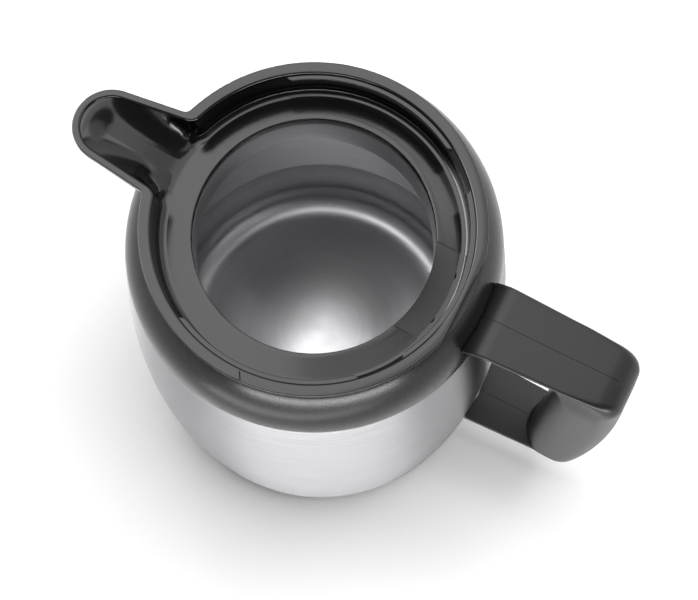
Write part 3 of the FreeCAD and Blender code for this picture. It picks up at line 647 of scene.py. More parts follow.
def band_section(sizes, angle):
    """One closed section of the band, cut off below the spout where the spout crosses it."""
    side = band_side(sizes, 60)
    top = len(side) - 1
    for place, (radius, level) in enumerate(side):
        hull = spout_hull(sizes, radius * math.cos(angle), radius * math.sin(angle))
        if hull is not None and level > hull - sizes.notch_gap:
            top = place
            break
    wall = RIM_RADIUS - sizes.rim_overhang - side[-1][0]
    inner_foot = BAND_RADIUS - sizes.step + sizes.band_gap
    cut_radius, cut_level = side[top]
    line = resampled(side[2:top], 24).tolist()
    inner_top = cut_radius + wall + sizes.band_gap
    section = rounded([(inner_foot, BAND_FOOT), (BAND_RADIUS, BAND_FOOT, sizes.edge / 2), side[2]], 4)
    section += line[1:-1]
    section += rounded([line[-2], (cut_radius, cut_level, sizes.edge / 2), (inner_top, cut_level)], 4)[1:]
    section += [(inner_top, cut_level - sizes.step), (inner_foot, BAND_FOOT + sizes.step)]
    return [(radius * math.cos(angle), radius * math.sin(angle), level) for radius, level in section]


class MakeBand(bpy.types.Operator):
    """Textured plastic band between barrel and rim, notched for the spout"""

    bl_idname = "coffee_pot.make_band"
    bl_label = "Shoulder band"

    def execute(self, context):
        sizes = context.scene.coffee_pot_sizes
        # Within this angle of the spout the sections lie closer together.
        notch = math.radians(20)
        around = np.linspace(notch - HALF_TURN, HALF_TURN - notch, 240)
        under_spout = np.linspace(HALF_TURN - notch, HALF_TURN + notch, 120)[1:-1]
        angles = np.concatenate([around, under_spout])
        mesh = skin("band", [band_section(sizes, angle) for angle in angles])
        place_piece("band", mesh, "textured_black_plastic", "matte_black", "shoulder_band")
        return {"FINISHED"}


def spout_side(sizes):
    """The spout's straight side seen from above.

    The values are the middle of the round tip, the side's outward angle and direction, and its distance from
    the axis.
    """
    tip = np.array([SPOUT_TIP + sizes.spout_round, 0])
    start = np.array([sizes.collar_wall - RIM_RADIUS, sizes.spout_root])
    to_start = start - tip
    lean = math.atan2(to_start[1], to_start[0]) + math.acos(sizes.spout_round / np.linalg.norm(to_start))
    out = np.array([math.cos(lean), math.sin(lean)])
    return tip, lean, out, out @ tip + sizes.spout_round


def collar_outline(sizes):
    """The collar seen from above, half way round from the handle to the spout's tip.

    Each sample is its place, its outward direction and how far it belongs to the spout, from 0 to 1.
    """
    tip, lean, out, side = spout_side(sizes)
    touch = tip + out * sizes.spout_round
    reach = RIM_RADIUS + sizes.spout_fillet
    turn = lean + math.acos((side + sizes.spout_fillet) / reach)
    centre = reach * np.array([math.cos(turn), math.sin(turn)])
    samples = []
    for angle in np.linspace(0, turn, 200):
        way = np.array([math.cos(angle), math.sin(angle)])
        samples.append((way * RIM_RADIUS, way, 0.0))
    first = turn + HALF_TURN
    last = lean + HALF_TURN
    for angle in np.linspace(first, last, 18)[1:]:
        way = np.array([math.cos(angle), math.sin(angle)])
        samples.append((centre + way * sizes.spout_fillet, -way, (angle - first) / (last - first)))
    line_start = samples[-1][0]
    for part in np.linspace(0, 1, 28)[1:]:
        samples.append((line_start + (touch - line_start) * part, out, 1.0))
    for angle in np.linspace(lean, HALF_TURN, 30)[1:]:
        way = np.array([math.cos(angle), math.sin(angle)])
        samples.append((tip + way * sizes.spout_round, way, 1.0))
    return samples


def smooth(part):
    """Eases a part between 0 and 1."""
    return part * part * (3 - 2 * part)


def ledge_radius(sizes):
    """Radius of the sloping ledge's outer end, where the gutter at the collar's wall begins."""
    middle = RIM_RADIUS - sizes.rim_width - sizes.wall_draft - sizes.ledge_fillet
    return middle - sizes.ledge_fillet * math.sin(sizes.ledge_slope)


def ledge_level(sizes, radius):
    """Height of the ledge, which falls from the mouth to the gutter."""
    return LEDGE - math.tan(sizes.ledge_slope) * (radius - MOUTH)


def gutter_line(sizes):
    """Points (radius, height) of the gutter from the foot of the collar's wall to the ledge."""
    fillet = sizes.ledge_fillet
    slope = sizes.ledge_slope
    edge = ledge_radius(sizes)
    centre = (edge + fillet * math.sin(slope), ledge_level(sizes, edge) + fillet * math.cos(slope))
    return arc(centre, fillet, 0, -HALF_TURN / 2 - slope, 14)


def past_ledge(sizes, x, y):
    """How far a spot in the spout lies beyond the ledge's round end."""
    return max(-x - math.sqrt(max(ledge_radius(sizes) ** 2 - y * y, 0)), 0)


def trough_floor(sizes, past):
    """Height of the trough's middle beyond the ledge: it dips a little and then rises to the spout's tip."""
    edge = ledge_radius(sizes)
    start = ledge_level(sizes, edge)
    slope = (RIM - sizes.trough_tip - start + sizes.trough_dip) / (-SPOUT_TIP - edge)
    dip = sizes.trough_dip * smooth(min(past / sizes.trough_step, 1))
    crease = sizes.trough_crease
    return start - dip + slope * (math.hypot(past, crease) - crease)


def inner_level(sizes, past, depth, out):
    """Height inside the collar at a depth in from the rim's inner edge.

    At the ledge it is the collar's wall and gutter; beyond it they ease into the spout's round scoop, where
    out goes from 1 at the rim to 0 in the middle.
    """
    steepness = 2.2
    floor = trough_floor(sizes, past)
    gutter = gutter_line(sizes)
    depths = [0, *(RIM_RADIUS - sizes.rim_width - radius for radius, _ in gutter)]
    levels = [RIM - sizes.rim_round, *(level for _, level in gutter)]
    ring = np.interp(depth, depths, levels)
    ring = RIM - (RIM - ring) * (RIM - floor) / (RIM - levels[-1])
    scoop = floor + (RIM - sizes.rim_round - floor) * out ** steepness
    return ring + (scoop - ring) * smooth(min(past / sizes.trough_round, 1))


def spout_hull(sizes, x, y):
    """Height of the spout's outside seen from below, or none outside its sides."""
    _, _, out, side = spout_side(sizes)
    depth = side - out @ np.array([x, abs(y)])
    if depth <= 0 or x > 0:
        return None
    share = min(depth / sizes.hull_width, 1)
    under = trough_floor(sizes, past_ledge(sizes, x, y)) - sizes.trough_wall
    return under + (RIM - sizes.spout_face - under) * (1 - math.sqrt(1 - (1 - share) ** 2))


def way_to_middle(sizes, place, out):
    """How far it is from a spot on the spout's outline, straight in, to the spout's middle line.

    At the tip, where straight in runs along that line, it is the tip's radius.
    """
    across = abs(out[1])
    longest = sizes.spout_round if across < 0.05 else sizes.scoop_reach
    return min(abs(place[1]) / across, longest) if across > 0.01 else longest


def collar_outside(sizes, blend, bottom):
    """Points (depth, height) up the collar's outside, blended from the ring's to the spout's rounded hull."""
    edge = sizes.edge
    wall = sizes.rim_overhang
    rim_under = RIM - sizes.rim_face
    ring = np.array(rounded([
        (wall, LEDGE_UNDER), (wall, rim_under, edge / 2), (0, rim_under, edge), (0, RIM - edge),
    ], 3))
    rise = RIM - sizes.spout_face - bottom
    turns = np.linspace(0, HALF_TURN / 2, len(ring))
    spout = np.stack([sizes.hull_width * (1 - np.sin(turns)), bottom + rise * (1 - np.cos(turns))], 1)
    return (ring + (spout - ring) * blend).tolist()


def rim_top(sizes, width):
    """Points (depth, height) over the rim, from its outer edge to its inner one."""
    edge = sizes.edge
    inner_edge = sizes.rim_round
    outer_round = arc((edge, RIM - edge), edge, HALF_TURN, HALF_TURN / 2, 5)
    return outer_round + arc((width - inner_edge, RIM - inner_edge), inner_edge, HALF_TURN / 2, 0, 5)


def collar_section(sizes, place, out, spoutness, spoke):
    """One closed section of the collar, blended from the ring's section to the spout's.

    Depths are measured straight in from the outline seen from above.
    """
    # The section's own share of the way to the spout's middle, and how its last points crowd there.
    scoop_share = 0.8
    crowding = 1.7
    blend = smooth(spoutness)
    edge = sizes.edge
    ledge_edge = ledge_radius(sizes)
    width = sizes.rim_width + (sizes.spout_rim - sizes.rim_width) * blend
    flat = 1.0
    if spoke[0] > 0:
        flat = min(1.0, (RIM_FLAT / spoke[0] - RIM_RADIUS + width) / width)

    def spot(depth):
        depth = width - (width - depth) * flat if depth < width else depth
        return place - out * depth

    bottom = trough_floor(sizes, past_ledge(sizes, *spot(sizes.hull_width))) - sizes.trough_wall
    outside = collar_outside(sizes, blend, bottom)
    top = rim_top(sizes, width)
    gutter = [(RIM_RADIUS - radius, level) for radius, level in gutter_line(sizes)]
    ring_in = list(resampled([(sizes.rim_width, RIM - sizes.rim_round), gutter[0]], 8))[1:-1] + gutter
    inside = ring_in
    if spoutness > 0:
        scoop = way_to_middle(sizes, place, out) - width
        turns = np.linspace(0, HALF_TURN / 2, len(ring_in) + 1)[1:]
        inside = []
        for (ring_depth, _), a in zip(ring_in, turns):
            spout_depth = width + scoop * scoop_share * (1 - math.cos(a))
            depth = ring_depth + (spout_depth - ring_depth) * blend
            past = past_ledge(sizes, *spot(depth)) * blend
            to_rim = 1 - (depth - width) / scoop
            inside.append((depth, inner_level(sizes, past, depth - width, to_rim)))

    loop = [(*(spoke * MOUTH), LEDGE_UNDER)]
    hull_start = np.array([*spot(outside[0][0]), outside[0][1]])
    arc_under = np.array([*(spoke * ledge_edge), LEDGE_UNDER])
    loop += [tuple(arc_under + (hull_start - arc_under) * part) for part in np.linspace(0, 1, 6)[:-1]]
    loop += [(*spot(depth), level) for depth, level in outside + top + inside]
    foot_spot = spot(inside[-1][0])
    for part in 1 - np.linspace(1, 0, 25)[1:] ** crowding:
        x, y = foot_spot + (spoke * ledge_edge - foot_spot) * part
        level = inside[-1][1]
        if spoutness > 0:
            past = past_ledge(sizes, x, y) * blend
            level = inner_level(sizes, past, sizes.rim_width * 2, to_rim * (1 - part))
        loop.append((x, y, level))
    for radius in np.linspace(ledge_edge, MOUTH + edge, 6)[1:-1]:
        loop.append((*(spoke * radius), ledge_level(sizes, radius)))
    for radius, level in arc((MOUTH + edge, LEDGE - edge), edge, HALF_TURN / 2, HALF_TURN, 5):
        loop.append((*(spoke * radius), level))
    return loop


def collar_rows(sizes):
    """The collar's sections all the way round."""
    half = collar_outline(sizes)
    whole = half + [(place * (1, -1), out * (1, -1), share) for place, out, share in half[-2:0:-1]]
    spout = [index for index, sample in enumerate(whole) if sample[2] > 0]
    first, last = spout[0] - 1, spout[-1] + 1
    first_turn = math.atan2(whole[first][0][1], whole[first][0][0])
    rows = []
    for index, (place, out, spoutness) in enumerate(whole):
        angle = math.atan2(place[1], place[0])
        if first <= index <= last:
            angle = first_turn + (index - first) / (last - first) * (FULL_TURN - 2 * first_turn)
        spoke = np.array([math.cos(angle), math.sin(angle)])
        rows.append(collar_section(sizes, place, out, spoutness, spoke))
    return rows


def ledge_slab(name, sizes, gap, over, rounding):
    """A slab of ledge and gutter between the two seams on the handle side.

    It is drawn in by a gap, stands over the ledge, and has its upper edges rounded.
    """
    half = sizes.plate_half - gap
    inner = MOUTH + gap
    outer = sizes.plate_reach - gap
    low = node_low("ledge_plate").z
    gutter = [(radius, level + over) for radius, level in gutter_line(sizes) if radius < outer - rounding]
    line = [(outer, low), (outer, gutter[0][1] - rounding), *gutter]
    line += [(inner + rounding, ledge_level(sizes, inner) + over)]
    line += [(inner, ledge_level(sizes, inner) + over - rounding), (inner, low)]
    rows = []
    for part in np.linspace(-1, 1, 41):
        turns = [(radius, level, part * math.asin(half / radius)) for radius, level in line]
        rows.append([(r * math.cos(turn), r * math.sin(turn), level) for r, level, turn in turns])
    return skin(name, rows, wrap_rows=False, sharp=30)


def combined(piece_mesh, tool_mesh, operation):
    """The first mesh with the second one taken out of it or joined to it."""
    piece = bpy.data.objects.new("combined", piece_mesh)
    tool = bpy.data.objects.new("tool", tool_mesh)
    scene = bpy.context.scene
    scene.collection.objects.link(piece)
    scene.collection.objects.link(tool)
    modifier = piece.modifiers.new("combine", "BOOLEAN")
    modifier.operation = operation
    modifier.solver = "EXACT"
    modifier.object = tool
    result = evaluated_mesh(piece)
    bpy.data.objects.remove(piece)
    bpy.data.objects.remove(tool)
    return result


def evaluated_mesh(piece):
    """A plain mesh of an object with its modifiers worked out."""
    graph = bpy.context.evaluated_depsgraph_get()
    return bpy.data.meshes.new_from_object(piece.evaluated_get(graph), depsgraph=graph)


class MakeCollar(bpy.types.Operator):
    """Polished black collar with rim, spout, trough and ledge, and the plate let into the ledge"""

    bl_idname = "coffee_pot.make_collar"
    bl_label = "Pouring collar"

    def execute(self, context):
        sizes = context.scene.coffee_pot_sizes
        solid = skin("collar_solid", collar_rows(sizes), sharp=32)
        recess = ledge_slab("plate_recess", sizes, gap=-sizes.seam, over=1 * MM, rounding=0)
        mesh = combined(solid, recess, "DIFFERENCE")
        mesh.name = "collar"
        clean(mesh, 32)
        place_piece("collar", mesh, "polished_black_plastic", "collar_black", "pouring_collar")
        plate = ledge_slab("ledge_insert", sizes, gap=sizes.seam / 2, over=0, rounding=sizes.seam)
        place_piece("ledge_insert", plate, "polished_black_plastic", "collar_black", "ledge_plate")
        return {"FINISHED"}


def repeat_tree():
    """Node tree that sets copies of a mesh in a row and turns each one about the pot's axis."""
    tree = bpy.data.node_groups.new("repeat_piece", "GeometryNodeTree")
    face = tree.interface
    face.new_socket("Geometry", in_out="INPUT", socket_type="NodeSocketGeometry")
    face.new_socket("Count", in_out="INPUT", socket_type="NodeSocketInt")
    face.new_socket("Step", in_out="INPUT", socket_type="NodeSocketVector")
    face.new_socket("Turn", in_out="INPUT", socket_type="NodeSocketFloat")
    face.new_socket("Finish", in_out="INPUT", socket_type="NodeSocketMaterial")
    face.new_socket("Geometry", in_out="OUTPUT", socket_type="NodeSocketGeometry")
    given = add_node(tree, "NodeGroupInput")
    line = add_node(
        tree, "GeometryNodeMeshLine", mode="OFFSET",
        links={"Count": given.outputs["Count"], "Offset": given.outputs["Step"]},
    )
    number = add_node(tree, "GeometryNodeInputIndex")
    turn = add_node(
        tree, "ShaderNodeMath", operation="MULTIPLY",
        links={0: number.outputs[0], 1: given.outputs["Turn"]},
    )
    rotation = add_node(tree, "ShaderNodeCombineXYZ", links={"Z": turn.outputs[0]})
    copies = add_node(
        tree, "GeometryNodeInstanceOnPoints",
        links={
            "Points": line.outputs[0], "Instance": given.outputs["Geometry"], "Rotation": rotation.outputs[0],
        },
    )
    solid = add_node(tree, "GeometryNodeRealizeInstances", links={"Geometry": copies.outputs[0]})
    finished = add_node(
        tree, "GeometryNodeSetMaterial",
        links={"Geometry": solid.outputs[0], "Material": given.outputs["Finish"]},
    )
    add_node(tree, "NodeGroupOutput", links={"Geometry": finished.outputs[0]})
    return tree


def repeated(name, mesh, finish, count, step=(0, 0, 0), turn=0.0):
    """A plain mesh of several copies of one, set and turned by the repeat tree."""
    tree = bpy.data.node_groups.get("repeat_piece") or repeat_tree()
    piece = bpy.data.objects.new("repeated", mesh)
    bpy.context.scene.collection.objects.link(piece)
    modifier = piece.modifiers.new("repeat", "NODES")
    modifier.node_group = tree
    values = {"Count": count, "Step": step, "Turn": turn, "Finish": material_for(finish)}
    for item in tree.interface.items_tree:
        if item.in_out == "INPUT" and item.name in values:
            modifier[item.identifier] = values[item.name]
    result = evaluated_mesh(piece)
    result.name = name
    bpy.data.objects.remove(piece)
    return result


def lug_mesh(sizes):
    """One of the lid's lugs, on the collar's wall at the front, with rounded ends."""
    top = RIM - sizes.lug_drop
    low = top - sizes.lug_height
    wall = RIM_RADIUS - sizes.rim_width
    back = wall + sizes.edge
    half_span = sizes.lug_span / 2
    end_round = sizes.lug_end / wall
    # Shares of a lug's depth and height where its sloping underside starts and ends.
    slope_start = 0.3
    slope_end = 0.35
    thinnest = 0.02
    rows = []
    for angle in np.linspace(-half_span, half_span, 97):
        to_end = min(half_span - abs(angle), end_round) / end_round
        depth = sizes.lug_depth * math.sqrt(max(1 - (1 - to_end) ** 2, thinnest ** 2))
        front = wall - depth
        rounding = min(sizes.edge * 0.7, depth / 2)
        section = rounded([
            (back, low), (wall - depth * slope_start, low),
            (front, low + sizes.lug_height * slope_end, rounding), (front, top, rounding), (back, top),
        ], 4)
        direction = angle + sizes.lug_first
        rows.append([(r * math.cos(direction), r * math.sin(direction), z) for r, z in section])
    return skin("lug", rows, wrap_rows=False, sharp=45)


class MakeLugs(bpy.types.Operator):
    """Three bayonet lugs for the lid on the collar's wall"""

    bl_idname = "coffee_pot.make_lugs"
    bl_label = "Lid lugs"

    def execute(self, context):
        sizes = context.scene.coffee_pot_sizes
        mesh = repeated("lid_lugs", lug_mesh(sizes), "polished_black_plastic", 3, turn=sizes.lug_apart)
        clean(mesh, 45)
        place_piece("lid_lugs", mesh, "polished_black_plastic", "collar_black")
        return {"FINISHED"}


def mark_mesh(sizes):
    """A wedge on the rim that falls from its steep side to a low end, with bevelled edges."""
    turns = (sizes.mark_start, sizes.mark_corner, sizes.mark_end)
    depths = (sizes.edge, sizes.mark_width, sizes.edge)
    heights = (sizes.mark_tall, sizes.mark_tall, sizes.seam)
    corners = []
    for turn, depth in zip(turns, depths):
        radius = RIM_RADIUS - depth
        corners.append(np.array([radius * math.cos(turn), radius * math.sin(turn)]))
    side = corners[1] - corners[0]
    out = np.array([side[1], -side[0]]) / np.linalg.norm(side)
    feet = [corners[0] + out * sizes.mark_slant, corners[1] + out * sizes.mark_slant, corners[2]]
    base = [(*foot, RIM - sizes.mark_sink) for foot in feet]
    top = [(*corner, RIM + height) for corner, height in zip(corners, heights)]
    faces = [(0, 1, 2), (3, 4, 5), (0, 1, 4, 3), (1, 2, 5, 4), (2, 0, 3, 5)]
    mesh = bpy.data.meshes.new("closing_mark")
    mesh.from_pydata(base + top, [], faces)
    work = bmesh.new()
    work.from_mesh(mesh)
    bmesh.ops.recalc_face_normals(work, faces=work.faces)
    bmesh.ops.bevel(
        work, geom=work.edges[:], offset=sizes.mark_edge, segments=2, profile=0.5, affect="EDGES",
    )
    work.to_mesh(mesh)
    work.free()
    clean(mesh, 50)
    return mesh


class MakeMark(bpy.types.Operator):
    """Small wedge on the rim that points the lid's closing way"""

    bl_idname = "coffee_pot.make_mark"
    bl_label = "Closing mark"

    def execute(self, context):
        mesh = mark_mesh(context.scene.coffee_pot_sizes)
        place_piece("closing_mark", mesh, "polished_black_plastic", "collar_black")
        return {"FINISHED"}


def pot_radius(sizes):
    """Heights and outer radii of barrel and band, for what butts against them."""
    line = np.array(barrel_side(sizes) + band_side(sizes)[1:])
    return line[:, 1], line[:, 0]


def handle_sides(sizes):
    """The handle's outer and inner line seen from the side, matched station by station.

    The third list says how far each station belongs to the grip, from 0 to 1, and the fourth is 1 on the
    upper arm and -1 on the lower one.
    """
    low_top = ARM_LOW + sizes.arm
    under = ARM_TOP - sizes.arm
    start = sizes.root_start
    bow = bowed((sizes.grip_end, ARM_LOW), (sizes.grip_end, ARM_TOP), sizes.grip_bow, 24)[::-1]
    bend = sizes.finger_bend
    low_bend = sizes.low_finger_bend
    turn = sizes.grip_inner - bend
    low_turn = sizes.grip_inner - low_bend
    # The points next to the bow's ends are left out, which makes room for the bends.
    outer = rounded([
        (start, ARM_TOP - sizes.root_drop), (start + sizes.root_roll, ARM_TOP, sizes.root_round),
        (*bow[0], sizes.top_bend), *bow[3:-5], (*bow[-1], sizes.low_bend), (low_turn, ARM_LOW),
    ], 14)
    inner = rounded([
        (start, under), (sizes.grip_inner, under, bend), (sizes.grip_inner, low_top, low_bend),
        (low_turn, low_top),
    ], 14)

    def cut(line, places, counts):
        line = resampled(line, 1200)
        stops = [0] + [int(np.argmin(np.linalg.norm(line - place, axis=1))) for place in places]
        stops.append(len(line) - 1)
        pieces = zip(stops[:-1], stops[1:], counts)
        return np.vstack([
            resampled(line[first:last + 1], count)[min(number, 1):]
            for number, (first, last, count) in enumerate(pieces)
        ])

    counts = (30, 22, 40, 22)
    arm, top_turn, straight, foot_turn = counts
    # The outer line starts its turn a little further out than the inner one.
    turn_lag = 4 * MM
    outer = cut(outer, (
        (turn + turn_lag, ARM_TOP), (sizes.grip_end, under - bend), (sizes.grip_end, low_top + low_bend),
    ), counts)
    inner = cut(inner, (
        (turn, under), (sizes.grip_inner, under - bend), (sizes.grip_inner, low_top + low_bend),
    ), counts)
    into_grip = np.linspace(0, 1, top_turn - 1)
    out_of_grip = np.linspace(1, 0, foot_turn - 1)
    grip = np.r_[np.zeros(arm), into_grip, np.ones(straight - 1), out_of_grip]
    middle = arm + top_turn + straight // 2 - 2
    upper = np.where(np.arange(len(grip)) < middle, 1, -1)
    return outer, inner, grip, upper


def half_section(depth, outer_half, inner_half, outer_edge, inner_edge, seam):
    """Half of the handle's cross section: (depth from the outer face, width) round one side of the seam."""
    groove = seam * 1.5
    # A narrow flat beside the groove keeps the face's shading level there.
    flat = groove + 0.3 * MM
    line = rounded([
        (seam, seam / 2), (0, groove), (0, flat), (0, outer_half, outer_edge),
        (depth, inner_half, inner_edge), (depth, flat), (depth, groove), (depth - seam, seam / 2),
    ], 9)
    return np.array(line)


def half_width(sizes, x):
    """Half width of the handle at a distance from the axis."""
    part = (x - RIM_FLAT) / (sizes.grip_end - RIM_FLAT)
    return sizes.root_half + (sizes.end_half - sizes.root_half) * part


def butted(sizes, x, y, z):
    """Distances from the axis, kept outside band and barrel."""
    levels, radii = pot_radius(sizes)
    wall = np.interp(z, levels, radii) + sizes.handle_gap
    return np.maximum(x, np.sqrt(np.maximum(wall ** 2 - y ** 2, 0)))


def handle_hook(sizes, side):
    """Rows of one half of upper arm and grip, down to where the grip enters the lower arm."""
    # On a leaning side an inner rounding takes up to this many times its radius of the depth.
    room = 1.5
    outer, inner, grip, upper = handle_sides(sizes)
    rows = []
    for (ox, oz), (ix, iz), share, way in zip(outer, inner, smooth(grip), upper):
        depth = math.hypot(ix - ox, iz - oz)
        half = half_width(sizes, (ox + ix) / 2)
        drawn_in = half - sizes.side_lean * min(depth, sizes.arm) * (1 - share)
        halves = (half, drawn_in) if way > 0 else (drawn_in, half)
        outer_edge = sizes.crisp_edge if way > 0 else sizes.arm_edge
        outer_edge += (sizes.grip_edge - outer_edge) * share
        inner_edge = sizes.arm_edge if way > 0 else sizes.finger_edge
        inner_edge += (sizes.finger_edge - inner_edge) * share
        inner_edge = min(inner_edge, (depth - outer_edge) / room)
        section = half_section(depth, *halves, outer_edge, inner_edge, sizes.handle_seam)
        step = section[:, 0] / depth
        x = ox + (ix - ox) * step
        z = oz + (iz - oz) * step
        y = section[:, 1]
        rows.append(np.stack([butted(sizes, x, y, z), y * side, z], 1))
    return rows


def handle_foot(sizes, side):
    """Rows of one half of the lower arm, from the barrel to inside the grip."""
    # Keeps its faces clear of the grip's, so that the two join cleanly.
    clear = 0.03 * MM
    rows = []
    for start in np.linspace(sizes.barrel_foot_radius, sizes.grip_inner + sizes.finger_edge, 30):
        half = half_width(sizes, start) - clear
        drawn_in = half - sizes.side_lean * sizes.arm
        section = half_section(
            sizes.arm, drawn_in, half, sizes.arm_edge, sizes.crisp_edge, sizes.handle_seam + clear
        )
        z = ARM_LOW + clear + section[:, 0]
        y = section[:, 1]
        rows.append(np.stack([butted(sizes, np.full(len(y), start), y, z), y * side, z], 1))
    return rows


def screw_spot(screws):
    """Where a pair of handle screws sits.

    The values are the distance from the axis, the distance from the seam, the head's radius, and the lowest
    and the highest level.
    """
    low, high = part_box(screws)
    head = (high.x - low.x) / 2
    return (low.x + high.x) / 2, high.y - head, head, low.z, high.z


def spun(name, profile, centre, steps=32, sharp=40):
    """A closed profile of (radius, height) points turned about an upright line."""
    mesh = turned(name, profile, steps, sharp)
    mesh.transform(Matrix.Translation((*centre, 0)))
    return mesh


def screw_hole(sizes, screws, side):
    """Round recess in one handle half through which a screw's head is reached from below."""
    across, out, head, low, _ = screw_spot(screws)
    radius = head + sizes.screw_gap
    deep = low + sizes.screw_head
    below = low - 5 * MM
    profile = [(0, below), (radius, below), (radius, deep), (0, deep)]
    return spun("screw_hole", profile, (across, out * side))


def screw_mesh(sizes, screws):
    """The screw of a pair that sits in the handle's left half, with a cross cut into its head."""
    across, out, head, low, high = screw_spot(screws)
    # Shares of a usual pan head screw.
    shank = head * 0.6
    crown = sizes.screw_head * 0.7
    slot_size = (head * 1.1, head * 0.22, sizes.screw_head, 1)
    top = low + sizes.screw_head
    profile = rounded([
        (0, low), (head, low, crown), (head, top), (shank, top), (shank, high), (0, high),
    ])
    mesh = spun("screw", profile, (across, -out))
    for turn in (0, HALF_TURN / 2):
        slot = bpy.data.meshes.new("slot")
        work = bmesh.new()
        place = Matrix.Translation((across, -out, low)) @ Matrix.Rotation(turn, 4, "Z")
        bmesh.ops.create_cube(work, size=1, matrix=place @ Matrix.Diagonal(slot_size))
        work.to_mesh(slot)
        work.free()
        mesh = combined(mesh, slot, "DIFFERENCE")
    return mesh


class MakeScrews(bpy.types.Operator):
    """Cross recessed pan head screws under the handle's two arms"""

    bl_idname = "coffee_pot.make_screws"
    bl_label = "Handle screws"

    def execute(self, context):
        sizes = context.scene.coffee_pot_sizes
        for screws in ("tongue_screws", "bracket_screws"):
            name = screws.replace("_screws", "_screw_pair")
            apart = 2 * screw_spot(screws)[1]
            mesh = screw_mesh(sizes, screws)
            pair = repeated(name, mesh, "zinc_plated_steel", 2, step=(0, apart, 0))
            clean(pair, 40)
            place_piece(name, pair, "zinc_plated_steel", "screw_steel", screws)
        return {"FINISHED"}


def base_profile(sizes):
    """The base cover as a closed profile: hollow underside with raised rings, groove for the foot ring."""
    low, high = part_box("base_cover")
    ring_high = node_high("foot_ring")
    edge = high.y
    groove = ring_high.y + sizes.foot_gap
    ring_inside = groove - sizes.foot_width - 2 * sizes.foot_gap
    level = low.z + sizes.base_dish
    rib = sizes.base_rib / 2
    under = [(0, level)]
    for radius in np.arange(sizes.rib_first, ring_inside - sizes.rib_margin, sizes.rib_apart):
        under += [(radius - 2 * rib, level), (radius - rib, level - rib)]
        under += [(radius + rib, level - rib), (radius + 2 * rib, level)]
    lip = ring_inside - sizes.base_lip
    under += rounded([
        under[-1], (lip - sizes.base_lip, level, sizes.edge), (lip, low.z, sizes.edge),
        (ring_inside, low.z), (ring_inside, ring_high.z), (groove, ring_high.z), (groove, low.z),
        (edge, low.z, sizes.edge), (edge, high.z, sizes.edge), (edge - sizes.base_wall, high.z),
    ])[1:]
    inner_floor = ring_high.z + sizes.base_wall
    return under + [(edge - sizes.base_wall, inner_floor), (0, inner_floor)]


def foot_ring_profile(sizes):
    """The rubber ring as a closed profile, with a narrow groove round the middle of its foot."""
    low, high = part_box("foot_ring")
    half = sizes.foot_width / 2
    middle = high.y - half
    tread = sizes.tread_width / 2
    ring = rounded([
        (middle - half, high.z), (middle - half, low.z, sizes.edge), (middle - tread, low.z),
    ])
    ring += rounded([
        (middle, low.z + sizes.tread_depth), (middle + tread, low.z),
        (middle + half, low.z, sizes.edge), (middle + half, high.z),
    ])
    return ring


class MakeBase(bpy.types.Operator):
    """Base cover with raised rings under the pot, and the rubber ring that it stands on"""

    bl_idname = "coffee_pot.make_base"
    bl_label = "Base"

    def execute(self, context):
        sizes = context.scene.coffee_pot_sizes
        cover = turned("base_cover_turned", base_profile(sizes), steps=160)
        place_piece("base_cover_turned", cover, "textured_black_plastic", "base_plastic", "base_cover")
        ring = turned("foot_ring_turned", foot_ring_profile(sizes), steps=160)
        place_piece("foot_ring_turned", ring, "moulded_rubber", "foot_rubber", "foot_ring")
        return {"FINISHED"}


class MakeHandle(bpy.types.Operator):
    """Grained plastic handle in two halves with a seam down its middle"""

    bl_idname = "coffee_pot.make_handle"
    bl_label = "Handle"

    def execute(self, context):
        sizes = context.scene.coffee_pot_sizes
        for name, side in (("handle_left", -1), ("handle_right", 1)):
            hook = skin("handle_hook", handle_hook(sizes, side), wrap_rows=False, sharp=35)
            foot = skin("handle_foot", handle_foot(sizes, side), wrap_rows=False, sharp=35)
            mesh = combined(hook, foot, "UNION")
            for screws in ("tongue_screws", "bracket_screws"):
                mesh = combined(mesh, screw_hole(sizes, screws, side), "DIFFERENCE")
            mesh.name = name + "_half"
            clean(mesh, 35)
            place_piece(name + "_half", mesh, "grained_black_plastic", "matte_black", name)
        return {"FINISHED"}


class FinishHidden(bpy.types.Operator):
    """Finishes of the pieces that keep the construction's own shape"""

    bl_idname = "coffee_pot.finish_hidden"
    bl_label = "Hidden pieces"

    def execute(self, context):
        finishes = {
            "pressed_steel": ("base_plate", "getter_clip", "neck_ring", "handle_bracket"),
            "zinc_plated_steel": ("collar_screws", "handle_pins"),
            "aluminium_foil": ("radiation_foil",),
            "solder_glass": ("vacuum_seal",),
            "sintered_getter": ("getter",),
            "silicone_rubber": ("neck_gasket",),
        }
        for finish, nodes in finishes.items():
            for node in nodes:
                piece = frame["nodes"][node]
                piece.data.materials.clear()
                piece.data.materials.append(material_for(finish))
        return {"FINISHED"}


def away(azimuth, elevation, distance):
    """A place in a direction from the middle of the rim, with angles in degrees."""
    across = math.cos(math.radians(elevation)) * distance
    turn = math.radians(azimuth)
    up = math.sin(math.radians(elevation)) * distance
    return Vector((across * math.cos(turn), across * math.sin(turn), RIM + up))


def add_lamp(name, place, aim, wide, tall, radiance, on_floor=True, in_gloss=True):
    """A soft rectangular lamp of even brightness that faces a spot, with its size in metres.

    on_floor says whether it lights dull surfaces such as the table, and in_gloss whether it shows as a
    reflection.
    """
    lamp = bpy.data.lights.new(name, "AREA")
    lamp.shape = "RECTANGLE"
    lamp.size = wide
    lamp.size_y = tall
    lamp.energy = radiance * math.pi * wide * tall
    holder = bpy.data.objects.new(name, lamp)
    bpy.context.scene.collection.objects.link(holder)
    holder.location = place
    holder.rotation_euler = (Vector(place) - Vector(aim)).to_track_quat("Z", "Y").to_euler()
    holder.visible_camera = False
    holder.visible_diffuse = on_floor
    holder.visible_glossy = in_gloss


